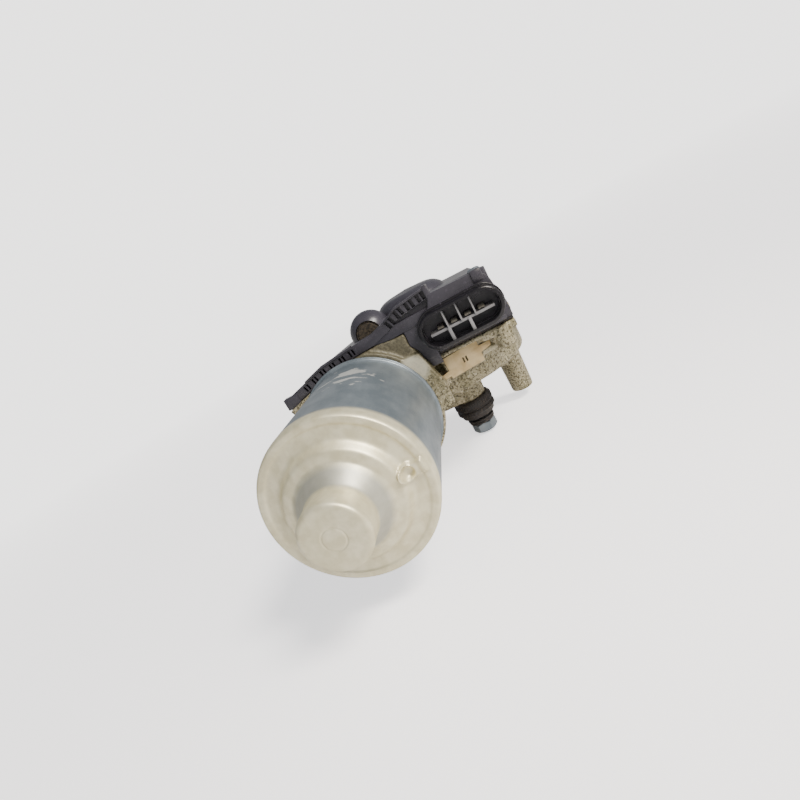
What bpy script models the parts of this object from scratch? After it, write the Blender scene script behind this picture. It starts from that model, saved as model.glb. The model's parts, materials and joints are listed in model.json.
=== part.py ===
"""Windscreen wiper motor: brushed DC motor, worm gearbox and electronics cover.

Frame: the origin is the centre of the output shaft's free end face.  The output shaft is the Z
axis and points down from the gearbox, +Z runs up towards the plastic cover, and the motor's axis
runs along Y at x = -WORM_OFFSET, with the motor can towards -Y.
"""
from math import cos, pi, radians, sin, sqrt

import bmesh
import bpy
from mathutils import Matrix

MM = 0.001

# ---- clearances and counts ----------------------------------------------------------------
GAP = 0.3                    # free gap between two touching pieces
RUN = 0.25                   # radial running clearance of a shaft in its bush
CAST_CLEAR = 0.8             # clearance between turning parts and castings
BIG_SEG = 40                 # facets round a large turned piece
SMALL_SEG = 20               # facets round a small turned piece

# ---- gear train ---------------------------------------------------------------------------
MODULE = 1.15
WHEEL_TEETH = 60
WORM_PITCH_R = 6.5
TOOTH_ADDENDUM = 0.85
TOOTH_DEDENDUM = 1.15
TOOTH_FILL = 0.36            # share of one pitch that a tooth or thread fills at the pitch line
WHEEL_FACE = 9.0             # width of the toothed rim
WHEEL_PITCH_R = MODULE * WHEEL_TEETH / 2
WORM_OFFSET = WHEEL_PITCH_R + WORM_PITCH_R
WORM_LENGTH = 26.0

# ---- heights above the shaft's free end ---------------------------------------------------
MOTOR_Z = 46.0               # height of the motor's axis and of the wheel's middle plane
POST_END_Z = 4.5             # end faces of the three mounting posts
BOSS_END_Z = 21.0            # end face of the output boss
FLOOR_T = 3.0                # floor of the gear bowl
DECK_Z = 60.0                # top face of the housing, where the cover sits
DECK_T = 4.0

# ---- motor ---------------------------------------------------------------------------------
RIM_Y = -50.0                # plane where the can meets the housing
CAN_R = 31.0
CAN_RIM_R = 32.0
CAN_RIM_T = 1.4
CAN_LEN = 68.2               # rim plane to the end shoulder
CAN_SHOULDER = 3.2
CAN_WALL = 1.5
CAN_STEP_R = 20.2            # raised ring on the can's end
CAN_STEP_H = 3.6
CAN_BOSS_R = 11.7            # bearing boss on the can's end
CAN_BOSS_H = 19.7
CAN_BOSS_EDGE = 2.0
MAGNET_T = 3.2
MAGNET_LEN = 36.0
MAGNET_ARC = 126.0           # degrees
MAGNET_MID = 38.0            # rim plane to the middle of magnets and core
AIR_GAP = 0.9
CORE_LEN = 28.0
CORE_SLOTS = 12
SLOT_DEPTH = 9.0
SLOT_W = 5.4
SLOT_MOUTH = 1.8
COIL_END = 5.5
COMM_R = 11.0
COMM_LEN = 11.0
COMM_START = 5.0             # rim plane to the commutator's near end
SHAFT_R = 4.0
REAR_BUSH_LEN = 10.0
BEARING_R = 11.0
BEARING_LEN = 7.0
PLATE_R = 26.4               # brush plate
PLATE_BORE_R = 13.2
PLATE_T = 2.6
PLATE_START = 2.6            # rim plane to the brush plate
BRUSH_W = 5.0
BRUSH_H = 4.4
BRUSH_LEN = 7.5
BRUSH_ANGLES = (0.0, 180.0, 292.0)
BOX_WALL = 0.7
BOX_LEN = 11.6
SPRING_LEN = 3.6

# ---- output --------------------------------------------------------------------------------
OUT_R = 5.0
OUT_THREAD_R = 3.9
NUT_AF = 12.0
NUT_H = 5.3
NUT_START = 1.0
RING_R = 7.6
RING_H = 3.0
BUSH_WALL = 1.4
BUSH_LEN = 8.0
BOSS_R = 8.7
CAP_R = BOSS_R + 2.3
CAP_H = 11.2
CAP_END_Z = 11.0

# ---- housing -------------------------------------------------------------------------------
BOWL_WALL = 1.7
TUNNEL_WALL = 3.0
FLANGE_T = 5.7
SPIGOT_LEN = 2.0
POST_R = 6.3
POST_TAPER = 1.4             # extra radius at the root of a post
POST_BORE_R = 2.5
POST_BORE_DEPTH = 16.0
POSTS = ((28.3, 26.0), (-30.0, 42.0), (-62.0, -24.0))
THRUST_Y = 31.0              # inner face of the shaft's end stop

# ---- cover ---------------------------------------------------------------------------------
COVER_WALL = 2.2
HEM_T = 4.8                  # depth of the castellated hem
HEM_Y0 = -47.0
COVER_LEFT = -74.0
COVER_RIGHT = 36.0
COVER_SLOPE_Y = 0.05         # the roof falls this much per millimetre towards the back
GASKET_T = 0.8
GASKET_W = 1.6
BLOCK_Y0 = -48.0             # front face of the connector block
COLLAR_Y0 = -56.0            # front face of the connector's collar
COLLAR_X, COLLAR_Z = 16.0, 72.0
COLLAR_HALF = 10.5           # half distance between the centres of the oval's two ends
COLLAR_R = 8.2
SOCKET_R = 6.6
SOCKET_DEPTH = 11.0
BLADE_PITCH = 6.2
BLADE_W = 2.8
BLADE_T = 0.8
DOME_AT = (-26.4, -22.0, 81.3)
DOME_R = 10.5
DOME_CUT_Y = -30.0
VENT_R = 6.2
VENT_T = 2.4
HUB_DOME_R = 19.0
HUB_DOME_TOP = 89.8
HUB_DOME_X, HUB_DOME_Y = -4.0, -6.0
HEM_FRONT_T = 4.5            # how far the hem runs back
BLOCK_LEFT, BLOCK_RIGHT = 0.5, 35.6
BLOCK_DEPTH = 9.0
COVER_SCREWS = ((29.0, -41.5, 86.5), (29.5, 27.5, 68.0), (-14.0, 41.0, 68.0),
                (-62.0, 29.0, 68.0), (-68.5, -37.5, 73.0))
SCREW_R = 1.5
SCREW_HEAD_R = 3.0
SCREW_HEAD_H = 2.2
SCREW_GRIP = 9.0
BOARD_Z = 67.5
BOARD_T = 1.6
RECESS_Z = 66.3              # the flange's face steps back above this height, outside the can
RECESS_T = 3.0
SKIRT = ((-7.0, 66.6), (-9.3, 69.9), (-9.0, 77.0), (0.6, 77.0), (0.6, 56.8), (-4.3, 56.8))
CLIP_X, CLIP_Y = 6.8, -38.0  # point that the ground clip and its pad are turned about
CLIP_TURN = 16.0             # degrees
CLIP_LEFT, CLIP_RIGHT = -7.6, 9.5
CLIP_Z0, CLIP_Z1 = 47.3, 57.4
CLIP_T = 0.7
CLIP_PAD_FACE = -2.2         # front face of the cast pad behind the clip

# ---- worked-out sizes ----------------------------------------------------------------------
FACE_Z0 = MOTOR_Z - WHEEL_FACE / 2
FACE_Z1 = MOTOR_Z + WHEEL_FACE / 2
TIP_R = WHEEL_PITCH_R + TOOTH_ADDENDUM
ROOT_R = WHEEL_PITCH_R - TOOTH_DEDENDUM
WORM_TIP_R = WORM_PITCH_R + TOOTH_ADDENDUM
WORM_ROOT_R = WORM_PITCH_R - TOOTH_DEDENDUM
CAVITY_R = TIP_R + CAST_CLEAR
BOWL_R = CAVITY_R + BOWL_WALL
FLOOR_Z1 = FACE_Z0 - GAP
FLOOR_Z0 = FLOOR_Z1 - FLOOR_T
TUNNEL_R = WORM_TIP_R + CAST_CLEAR
BUSH_R = OUT_R + RUN + BUSH_WALL
COVER_Z0 = DECK_Z + GASKET_T + 2 * GAP
MAGNET_R1 = CAN_R - CAN_WALL - GAP
MAGNET_R0 = MAGNET_R1 - MAGNET_T
CORE_R = MAGNET_R0 - AIR_GAP


# ---- materials -----------------------------------------------------------------------------
def material(name, colour, roughness, metallic):
    mat = bpy.data.materials.new(name)
    mat.use_nodes = True
    shader = mat.node_tree.nodes["Principled BSDF"]
    shader.inputs["Base Color"].default_value = (*colour, 1.0)
    shader.inputs["Roughness"].default_value = roughness
    shader.inputs["Metallic"].default_value = metallic
    mat.diffuse_color = (*colour, 1.0)
    return mat


for leftover in list(bpy.data.objects):
    bpy.data.objects.remove(leftover, do_unlink=True)

ZINC = material("zinc_plated_steel", (0.42, 0.45, 0.46), 0.35, 0.9)
ALUMINIUM = material("die_cast_aluminium", (0.50, 0.47, 0.40), 0.55, 0.85)
BLACK_PLASTIC = material("glass_filled_nylon", (0.035, 0.033, 0.036), 0.5, 0.0)
GREY_PLASTIC = material("grey_nylon", (0.25, 0.25, 0.26), 0.5, 0.0)
WHITE_PLASTIC = material("acetal", (0.80, 0.78, 0.70), 0.4, 0.0)
RUBBER = material("black_rubber", (0.02, 0.02, 0.02), 0.8, 0.0)
STEEL = material("bright_steel", (0.60, 0.60, 0.60), 0.25, 1.0)
SPRING_STEEL = material("spring_steel", (0.40, 0.40, 0.42), 0.3, 1.0)
TIN = material("tin_plated_bronze", (0.62, 0.55, 0.40), 0.35, 0.9)
BRONZE = material("sintered_bronze", (0.45, 0.28, 0.12), 0.6, 0.8)
BRASS = material("brass", (0.65, 0.48, 0.18), 0.35, 1.0)
COPPER = material("enamelled_copper", (0.55, 0.22, 0.09), 0.35, 0.9)
LAMINATION = material("lamination_steel", (0.25, 0.25, 0.27), 0.45, 0.8)
FERRITE = material("ferrite", (0.06, 0.06, 0.065), 0.7, 0.0)
CARBON = material("carbon_brush", (0.05, 0.045, 0.045), 0.8, 0.1)
BOARD_GREEN = material("circuit_board", (0.02, 0.16, 0.07), 0.5, 0.0)
MEMBRANE = material("vent_membrane", (0.16, 0.13, 0.09), 0.8, 0.0)


# ---- mesh helpers --------------------------------------------------------------------------
def axis_empty(name, at):
    """An empty on a joint's axis that the moving pieces hang from."""
    empty = bpy.data.objects.new(name, None)
    empty.location = [v * MM for v in at]
    bpy.context.scene.collection.objects.link(empty)
    return empty


def place(obj, at, parent):
    """Put an object at a place in the model's frame and hang it from its axis empty, if any."""
    hang = parent.location if parent else (0.0, 0.0, 0.0)
    obj.location = [v * MM - h for v, h in zip(at, hang)]
    obj.parent = parent


def finish(name, bm, mat, at=(0, 0, 0), parent=None, smooth=30.0):
    """Turn a bmesh in millimetres into a named object at a place in millimetres."""
    bmesh.ops.recalc_face_normals(bm, faces=bm.faces)
    bmesh.ops.scale(bm, vec=(MM, MM, MM), verts=bm.verts)
    mesh = bpy.data.meshes.new(name)
    bm.to_mesh(mesh)
    bm.free()
    mesh.shade_smooth()
    mesh.set_sharp_from_angle(angle=radians(smooth))
    obj = bpy.data.objects.new(name, mesh)
    place(obj, at, parent)
    if mat:
        mesh.materials.append(mat)
    bpy.context.scene.collection.objects.link(obj)
    return obj


def turn_to(bm, axis):
    """Turn a shape built along Z so that it lies along the given axis."""
    spin = {"x": Matrix.Rotation(pi / 2, 3, "Y"), "y": Matrix.Rotation(-pi / 2, 3, "X"),
            "z": Matrix.Identity(3)}[axis]
    bmesh.ops.rotate(bm, matrix=spin, verts=bm.verts)


def lathe(profile, seg=SMALL_SEG, axis="z"):
    """Closed turned solid from (radius, height) points that go once round the section."""
    bm = bmesh.new()
    rings = []
    for r, h in profile:
        if r < 1e-6:
            rings.append([bm.verts.new((0, 0, h))])
        else:
            rings.append([bm.verts.new((r * cos(2 * pi * k / seg), r * sin(2 * pi * k / seg), h))
                          for k in range(seg)])
    count = len(rings)
    for i in range(count):
        a, b = rings[i], rings[(i + 1) % count]
        if len(a) == 1 and len(b) == 1:
            continue
        for k in range(seg):
            n = (k + 1) % seg
            if len(a) == 1:
                bm.faces.new((a[0], b[k], b[n]))
            elif len(b) == 1:
                bm.faces.new((a[k], b[0], a[n]))
            else:
                bm.faces.new((a[k], b[k], b[n], a[n]))
    turn_to(bm, axis)
    return bm


def ring(r0, r1, lo, hi, seg=SMALL_SEG, axis="z"):
    """A washer or tube; r0 of zero gives a plain cylinder."""
    if r0 <= 0:
        return lathe([(0, lo), (r1, lo), (r1, hi), (0, hi)], seg, axis)
    return lathe([(r0, lo), (r1, lo), (r1, hi), (r0, hi)], seg, axis)


def prism(outline, lo, hi, plane="xy"):
    """Extrude a closed outline; plane xy runs along Z, plane xz along Y."""
    bm = bmesh.new()
    ends = []
    for level in (lo, hi):
        if plane == "xy":
            ends.append([bm.verts.new((u, v, level)) for u, v in outline])
        else:
            ends.append([bm.verts.new((u, level, v)) for u, v in outline])
    count = len(outline)
    bm.faces.new(ends[0])
    bm.faces.new(ends[1])
    for k in range(count):
        n = (k + 1) % count
        bm.faces.new((ends[0][k], ends[0][n], ends[1][n], ends[1][k]))
    return bm


def block(lo, hi):
    return prism([(lo[0], lo[1]), (hi[0], lo[1]), (hi[0], hi[1]), (lo[0], hi[1])], lo[2], hi[2])


def cone_post(x, y, r0, r1, lo, hi, seg=SMALL_SEG):
    bm = lathe([(0, lo), (r0, lo), (r1, hi), (0, hi)], seg)
    bmesh.ops.translate(bm, vec=(x, y, 0), verts=bm.verts)
    return bm


def moved(bm, vec):
    bmesh.ops.translate(bm, vec=vec, verts=bm.verts)
    return bm


def turned(bm, degrees, axis="Z", centre=(0, 0, 0)):
    bmesh.ops.rotate(bm, matrix=Matrix.Rotation(radians(degrees), 3, axis), cent=centre,
                     verts=bm.verts)
    return bm


def arc(cx, cy, r, start, end, steps):
    """Points on an arc, angles in degrees."""
    return [(cx + r * cos(radians(start + (end - start) * k / steps)),
             cy + r * sin(radians(start + (end - start) * k / steps))) for k in range(steps + 1)]


def combine(name, base, adds=(), cuts=(), keeps=(), mat=None, at=(0, 0, 0), parent=None):
    """Join, cut and intersect closed shapes into one body with exact booleans."""
    body = finish(name, base, mat)
    steps = [("UNION", bm) for bm in adds] + [("INTERSECT", bm) for bm in keeps]
    steps += [("DIFFERENCE", bm) for bm in cuts]
    tools = []
    for k, (operation, bm) in enumerate(steps):
        tool = finish(f"{name}_tool_{k}", bm, None)
        tool.hide_render = True
        tool.display_type = "WIRE"
        tools.append(tool)
        modifier = body.modifiers.new(operation.title(), "BOOLEAN")
        modifier.operation = operation
        modifier.solver = "EXACT"
        modifier.object = tool
    graph = bpy.context.evaluated_depsgraph_get()
    graph.update()
    mesh = bpy.data.meshes.new_from_object(body.evaluated_get(graph))
    body.modifiers.clear()
    for tool in tools:
        bpy.data.objects.remove(tool, do_unlink=True)
    bm = bmesh.new()
    bm.from_mesh(mesh)
    bpy.data.meshes.remove(mesh)
    bmesh.ops.remove_doubles(bm, verts=bm.verts, dist=1e-7)
    bmesh.ops.triangulate(bm, faces=bm.faces)
    bm.to_mesh(body.data)
    bm.free()
    body.data.shade_smooth()
    body.data.set_sharp_from_angle(angle=radians(30))
    place(body, at, parent)
    return body


# ---- gear train ----------------------------------------------------------------------------
def wheel_outline(z):
    """Tooth outline of the worm wheel at one height; the teeth lean with the worm's helix."""
    lead_slope = MODULE / (2 * WORM_PITCH_R)
    twist = lead_slope * (z - MOTOR_Z) / WHEEL_PITCH_R
    pitch_angle = 2 * pi / WHEEL_TEETH
    half_root = pitch_angle * (TOOTH_FILL / 2 + 0.08)
    half_tip = pitch_angle * (TOOTH_FILL / 2 - 0.05)
    points = []
    for k in range(WHEEL_TEETH):
        centre = pi + (k + 0.5) * pitch_angle + twist
        for r, offset in ((ROOT_R, -half_root), (TIP_R, -half_tip), (TIP_R, half_tip),
                          (ROOT_R, half_root)):
            points.append((r * cos(centre + offset), r * sin(centre + offset)))
    return points


def toothed_rim(inner_r):
    """Ring with the wheel's teeth outside and a plain bore, one inner point for each tooth."""
    bm = bmesh.new()
    levels = []
    for z in (FACE_Z0, FACE_Z1):
        outer = [bm.verts.new((x, y, z)) for x, y in wheel_outline(z)]
        inner = []
        for k in range(WHEEL_TEETH):
            angle = pi + (k + 0.5) * 2 * pi / WHEEL_TEETH
            inner.append(bm.verts.new((inner_r * cos(angle), inner_r * sin(angle), z)))
        levels.append((outer, inner))
    for outer, inner in levels:
        for k in range(WHEEL_TEETH):
            n = (k + 1) % WHEEL_TEETH
            tooth = outer[4 * k:4 * k + 4]
            for a, b in zip(tooth, tooth[1:]):
                bm.faces.new((a, b, inner[k]))
            bm.faces.new((tooth[3], outer[4 * n], inner[n], inner[k]))
    for low, high in zip(*levels):
        for k in range(len(low)):
            n = (k + 1) % len(low)
            bm.faces.new((low[k], low[n], high[n], high[k]))
    bmesh.ops.triangulate(bm, faces=bm.faces)
    return bm


def worm_thread():
    """Right-hand trapezoid thread along Y, its foot sunk into the worm's core."""
    lead = pi * MODULE
    steps = 14
    total = int(WORM_LENGTH / lead * steps)
    half_foot = lead * (TOOTH_FILL / 2 + 0.11)
    half_tip = lead * (TOOTH_FILL / 2 - 0.05)
    foot_r = WORM_ROOT_R - 0.5
    section = ((foot_r, -half_foot), (WORM_TIP_R, -half_tip), (WORM_TIP_R, half_tip),
               (foot_r, half_foot))
    bm = bmesh.new()
    rows = []
    for i in range(total + 1):
        angle = 2 * pi * (i - total / 2) / steps
        middle = lead * (i - total / 2) / steps
        spin = angle + pi / 2
        rows.append([bm.verts.new((r * sin(spin), middle + dy, r * cos(spin)))
                     for r, dy in section])
    for a, b in zip(rows, rows[1:]):
        for k in range(4):
            n = (k + 1) % 4
            bm.faces.new((a[k], a[n], b[n], b[k]))
    bm.faces.new(rows[0])
    bm.faces.new(rows[-1])
    bmesh.ops.triangulate(bm, faces=bm.faces)
    return bm


def build_gear_train(output_axis, armature_axis):
    web_z0, web_z1 = MOTOR_Z - 1.5, MOTOR_Z + 1.5
    hub_r, hub_top = 11.0, FACE_Z1 + 3.0
    rim_inner = ROOT_R - 3.0
    boss_r = hub_r + 2.5
    holes = [moved(ring(0, 4.2, web_z0 - 1, web_z1 + 1, 8),
                   (22.0 * cos(radians(a)), 22.0 * sin(radians(a)), 0)) for a in range(0, 360, 60)]
    combine("worm_wheel", toothed_rim(rim_inner),
            adds=[ring(boss_r - 1.0, rim_inner + 1.5, web_z0, web_z1, BIG_SEG),
                  ring(hub_r, boss_r, FACE_Z0, FACE_Z1, BIG_SEG)],
            cuts=holes, mat=WHITE_PLASTIC, parent=output_axis)
    hub = lathe([(OUT_R + GAP, FACE_Z0), (hub_r - GAP, FACE_Z0), (hub_r - GAP, FACE_Z1),
                 (hub_r - 3.0, hub_top), (OUT_R + GAP, hub_top)], 32)
    finish("wheel_hub", hub, STEEL, parent=output_axis)
    magnet_z = hub_top + GAP
    finish("position_magnet", ring(OUT_R + GAP, hub_r - 3.0, magnet_z, magnet_z + 2.0), FERRITE,
           parent=output_axis)
    shaft_top = magnet_z + 2.0
    groove_z = BOSS_END_Z - 2.6
    finish("output_shaft", lathe([(0, 0), (OUT_THREAD_R - 0.6, 0), (OUT_THREAD_R, 0.6),
                                  (OUT_THREAD_R, NUT_START + NUT_H + RING_H + 0.6),
                                  (OUT_R, NUT_START + NUT_H + RING_H + 3.0),
                                  (OUT_R, groove_z), (OUT_R - 0.7, groove_z),
                                  (OUT_R - 0.7, groove_z + 1.4), (OUT_R, groove_z + 1.4),
                                  (OUT_R, shaft_top), (0, shaft_top)]), STEEL,
           parent=output_axis)
    circlip = [(u, v) for u, v in arc(0, 0, OUT_R + 2.0, 30, 330, 20)]
    circlip += [(u, v) for u, v in arc(0, 0, OUT_R - 0.7 + GAP, 330, 30, 20)]
    finish("shaft_circlip", prism(circlip, groove_z + 0.25, groove_z + 1.15), SPRING_STEEL,
           parent=output_axis)
    washer_z = groove_z + 1.4
    finish("thrust_washer", ring(OUT_R + GAP, BOSS_R - 1.0, washer_z + 0.1, washer_z + 0.9),
           BRONZE, parent=output_axis)
    for name, lo in (("lower_output_bush", BOSS_END_Z + 0.4),
                     ("upper_output_bush", FLOOR_Z1 - BUSH_LEN - 0.6)):
        finish(name, ring(OUT_R + RUN, BUSH_R, lo, lo + BUSH_LEN), BRONZE)
    hexagon = arc(0, 0, NUT_AF / sqrt(3), 0, 300, 5)
    nut_z1 = NUT_START + NUT_H
    combine("arm_nut", prism(hexagon, NUT_START, nut_z1),
            cuts=[ring(0, OUT_THREAD_R + GAP, NUT_START - 1, nut_z1 + 1)],
            mat=ZINC, parent=output_axis)
    finish("spacer_ring", ring(OUT_THREAD_R + GAP, RING_R, nut_z1 + GAP, nut_z1 + RING_H), RUBBER,
           parent=output_axis)
    worm_core = ring(0, WORM_ROOT_R, -WORM_LENGTH / 2 - 2.5, WORM_LENGTH / 2 + 2.5, SMALL_SEG, "y")
    shaft_end = RIM_Y - CAN_LEN - CAN_BOSS_H + CAN_WALL + 3.0
    combine("armature_shaft", worm_core,
            adds=[worm_thread(), ring(0, SHAFT_R, shaft_end, THRUST_Y - 3.0 - GAP, SMALL_SEG, "y")],
            mat=STEEL, at=(-WORM_OFFSET, 0, MOTOR_Z), parent=armature_axis)


# ---- motor ---------------------------------------------------------------------------------
def can_profile():
    """Section of the drawn can: (radius, distance from the rim plane), outside then inside."""
    end = CAN_LEN
    boss = end + CAN_BOSS_H
    outer = [(CAN_RIM_R, 0), (CAN_RIM_R, CAN_RIM_T), (CAN_R, CAN_RIM_T)]
    outer += arc(CAN_R - CAN_SHOULDER, end - CAN_SHOULDER, CAN_SHOULDER, 0, 90, 4)
    outer += [(CAN_STEP_R + 1.8, end - 0.2), (CAN_STEP_R, end + CAN_STEP_H),
              (CAN_STEP_R - 3.5, end + CAN_STEP_H + 0.8), (CAN_BOSS_R + 1.6, end + CAN_STEP_H + 3.2),
              (CAN_BOSS_R + 0.3, end + CAN_STEP_H + 6.5),
              (CAN_BOSS_R, boss - CAN_BOSS_EDGE), (CAN_BOSS_R - CAN_BOSS_EDGE, boss), (0, boss)]
    wall = CAN_WALL
    inner = [(0, boss - wall), (CAN_BOSS_R - wall, boss - wall),
             (CAN_BOSS_R - wall, end + CAN_STEP_H + 2.5),
             (CAN_STEP_R - wall, end + CAN_STEP_H - wall), (CAN_STEP_R - wall, end - wall - 0.2),
             (CAN_R - CAN_SHOULDER, end - wall), (CAN_R - wall, end - CAN_SHOULDER),
             (CAN_R - wall, 0)]
    return outer + inner


def along_motor(bm):
    """Shapes written as distance from the rim plane run towards -Y."""
    bmesh.ops.rotate(bm, matrix=Matrix.Rotation(pi / 2, 3, "X"), verts=bm.verts)
    bmesh.ops.translate(bm, vec=(0, RIM_Y, 0), verts=bm.verts)
    return bm


def motor_ring(r0, r1, lo, hi, seg=BIG_SEG):
    return along_motor(ring(r0, r1, lo, hi, seg))


def magnet_shape(middle):
    half = MAGNET_ARC / 2
    outline = arc(0, 0, MAGNET_R1, middle - half, middle + half, 14)
    outline += arc(0, 0, MAGNET_R0, middle + half, middle - half, 14)
    return along_motor(prism(outline, MAGNET_MID - MAGNET_LEN / 2, MAGNET_MID + MAGNET_LEN / 2))


def slot_outline(angle, inset):
    """A lamination slot as a closed outline that breaks through the core's rim."""
    r_in, r_mid = CORE_R - SLOT_DEPTH + inset, CORE_R - 1.4 - inset
    half_in, half_out = SLOT_W / 3 - inset, SLOT_W / 2 - inset
    outline = [(r_in, -half_in), (r_mid, -half_out), (r_mid, half_out), (r_in, half_in)]
    turn = radians(angle)
    return [(r * cos(turn) - w * sin(turn), r * sin(turn) + w * cos(turn)) for r, w in outline]


def mouth_outline(angle):
    turn = radians(angle)
    corners = ((CORE_R - 2.4, -1), (CORE_R + 1, -1), (CORE_R + 1, 1), (CORE_R - 2.4, 1))
    return [(r * cos(turn) - s * SLOT_MOUTH / 2 * sin(turn),
             r * sin(turn) + s * SLOT_MOUTH / 2 * cos(turn)) for r, s in corners]


def build_armature(armature_axis):
    at = (-WORM_OFFSET, 0, MOTOR_Z)
    lo, hi = MAGNET_MID - CORE_LEN / 2, MAGNET_MID + CORE_LEN / 2
    angles = [360 * k / CORE_SLOTS for k in range(CORE_SLOTS)]
    cuts = [along_motor(prism(slot_outline(a, 0), lo - 1, hi + 1)) for a in angles]
    cuts += [along_motor(prism(mouth_outline(a), lo - 1, hi + 1)) for a in angles]
    cuts.append(motor_ring(0, SHAFT_R + GAP, lo - 1, hi + 1, SMALL_SEG))
    combine("armature_core", motor_ring(0, CORE_R, lo, hi), cuts=cuts, mat=LAMINATION, at=at,
            parent=armature_axis)
    coil_r0, coil_r1 = CORE_R - SLOT_DEPTH - 1.0, CORE_R - 1.4 - GAP
    ends = [motor_ring(coil_r0, coil_r1, lo - COIL_END, lo - GAP, BIG_SEG),
            motor_ring(coil_r0, coil_r1, hi + GAP, hi + COIL_END, BIG_SEG)]
    bars = [along_motor(prism(slot_outline(a, GAP), lo - 1.5, hi + 1.5)) for a in angles]
    combine("armature_winding", ends[0], adds=[ends[1]] + bars, mat=COPPER, at=at,
            parent=armature_axis)
    segments = [turned(block((COMM_R - 1.2, -0.35, COMM_START - 1), (COMM_R + 1, 0.35,
                                                                     COMM_START + COMM_LEN + 1)),
                       360 * (k + 0.5) / CORE_SLOTS) for k in range(CORE_SLOTS)]
    combine("commutator", motor_ring(SHAFT_R + GAP, COMM_R, COMM_START, COMM_START + COMM_LEN),
            cuts=[along_motor(bm) for bm in segments], mat=COPPER, at=at, parent=armature_axis)
    inner_y = RIM_Y + FLANGE_T + GAP - 2.5
    finish("bearing_inner_ring", ring(SHAFT_R + GAP, SHAFT_R + 2.6, inner_y, inner_y + BEARING_LEN,
                                      32, "y"), STEEL, at, armature_axis)
    finish("bearing_outer_ring", ring(BEARING_R - 2.6, BEARING_R, inner_y, inner_y + BEARING_LEN,
                                      32, "y"), STEEL, at)
    thrust_y = THRUST_Y - 3.0
    finish("thrust_ball", lathe([(0, -1.3), (0.9, -0.9), (1.3, 0), (0.9, 0.9), (0, 1.3)], 12, "y"),
           STEEL, (at[0], thrust_y + 1.4, at[2]))
    bush_mid = RIM_Y - CAN_LEN - CAN_BOSS_H + CAN_WALL + 4.0 + REAR_BUSH_LEN / 2
    seat_r = CAN_BOSS_R - CAN_WALL - GAP
    half = REAR_BUSH_LEN / 2
    finish("rear_bush", lathe([(SHAFT_R + RUN, -half), (seat_r - 2, -half), (seat_r, -half / 2),
                               (seat_r, half / 2), (seat_r - 2, half), (SHAFT_R + RUN, half)], 32,
                              "y"), BRONZE, (at[0], bush_mid, at[2]))


def build_can():
    at = (-WORM_OFFSET, 0, MOTOR_Z)
    finish("motor_can", along_motor(lathe(can_profile(), BIG_SEG)), ZINC, at)
    for name, middle in (("magnet_left", 180.0), ("magnet_right", 0.0)):
        finish(name, magnet_shape(middle), FERRITE, at)
    gap_half = (180 - MAGNET_ARC) / 2 - 1.5
    for name, middle in (("magnet_spring_top", 90.0), ("magnet_spring_bottom", 270.0)):
        outline = arc(0, 0, MAGNET_R1, middle - gap_half, middle + gap_half, 8)
        outline += arc(0, 0, MAGNET_R1 - 0.9, middle + gap_half, middle - gap_half, 8)
        finish(name, along_motor(prism(outline, MAGNET_MID - MAGNET_LEN / 2,
                                       MAGNET_MID + MAGNET_LEN / 2)), SPRING_STEEL, at)
    seal_r1 = CAN_R - CAN_WALL - GAP
    finish("can_seal", motor_ring(seal_r1 - 1.2, seal_r1, 0.3, 2.0), RUBBER, at)


def build_brush_gear():
    at = (-WORM_OFFSET, 0, MOTOR_Z)
    half_h = BRUSH_H / 2 + RUN + BOX_WALL
    mid_box = PLATE_START + PLATE_T + GAP + half_h
    plate_far = PLATE_START + PLATE_T
    finish("brush_plate", motor_ring(PLATE_BORE_R, PLATE_R, PLATE_START, plate_far), GREY_PLASTIC,
           at)
    box_lo = COMM_R + 1.3
    for k, angle in enumerate(BRUSH_ANGLES, 1):
        half_w = BRUSH_W / 2 + RUN + BOX_WALL
        shell = block((box_lo, -half_w, mid_box - half_h),
                      (box_lo + BOX_LEN, half_w, mid_box + half_h))
        hole_w, hole_h = BRUSH_W / 2 + RUN, BRUSH_H / 2 + RUN
        hole = block((box_lo - 1, -hole_w, mid_box - hole_h),
                     (box_lo + BOX_LEN - BOX_WALL, hole_w, mid_box + hole_h))
        combine(f"brush_box_{k}", along_motor(turned(shell, angle)),
                cuts=[along_motor(turned(hole, angle))], mat=BRASS, at=at)
        tip = COMM_R + GAP
        brush = block((tip, -BRUSH_W / 2, mid_box - BRUSH_H / 2),
                      (tip + BRUSH_LEN, BRUSH_W / 2, mid_box + BRUSH_H / 2))
        slide_line = axis_empty(f"brush_axis_{k}", (-WORM_OFFSET, RIM_Y - mid_box, MOTOR_Z))
        finish(f"brush_{k}", along_motor(turned(brush, angle)), CARBON, at, slide_line)
        spring = block((tip + BRUSH_LEN + 0.1, -1.4, mid_box - 1.4),
                       (tip + BRUSH_LEN + SPRING_LEN, 1.4, mid_box + 1.4))
        finish(f"brush_spring_{k}", along_motor(turned(spring, angle)), SPRING_STEEL, at)
    for k, angle in enumerate((60.0, 120.0), 1):
        choke = moved(ring(0, 2.0, -5.0, 5.0, 12, "y"), (19.5, 0, plate_far + 2.4))
        finish(f"choke_{k}", along_motor(turned(choke, angle)), COPPER, at)


# ---- cover outlines ------------------------------------------------------------------------
HEM_KNOTS = ((-74.0, 73.5), (-62.0, 76.7), (-50.0, 80.0), (-31.0, 82.0), (-23.0, 82.4), (-14.0, 85.2),
             (-8.0, 88.0), (8.0, 89.8))


def hem_top(x):
    """Height of the cover's front edge, which climbs from the motor's side to the connector."""
    for (x0, z0), (x1, z1) in zip(HEM_KNOTS, HEM_KNOTS[1:]):
        if x <= x1 or x1 == HEM_KNOTS[-1][0]:
            return z0 + (z1 - z0) * (x - x0) / (x1 - x0)


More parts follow.
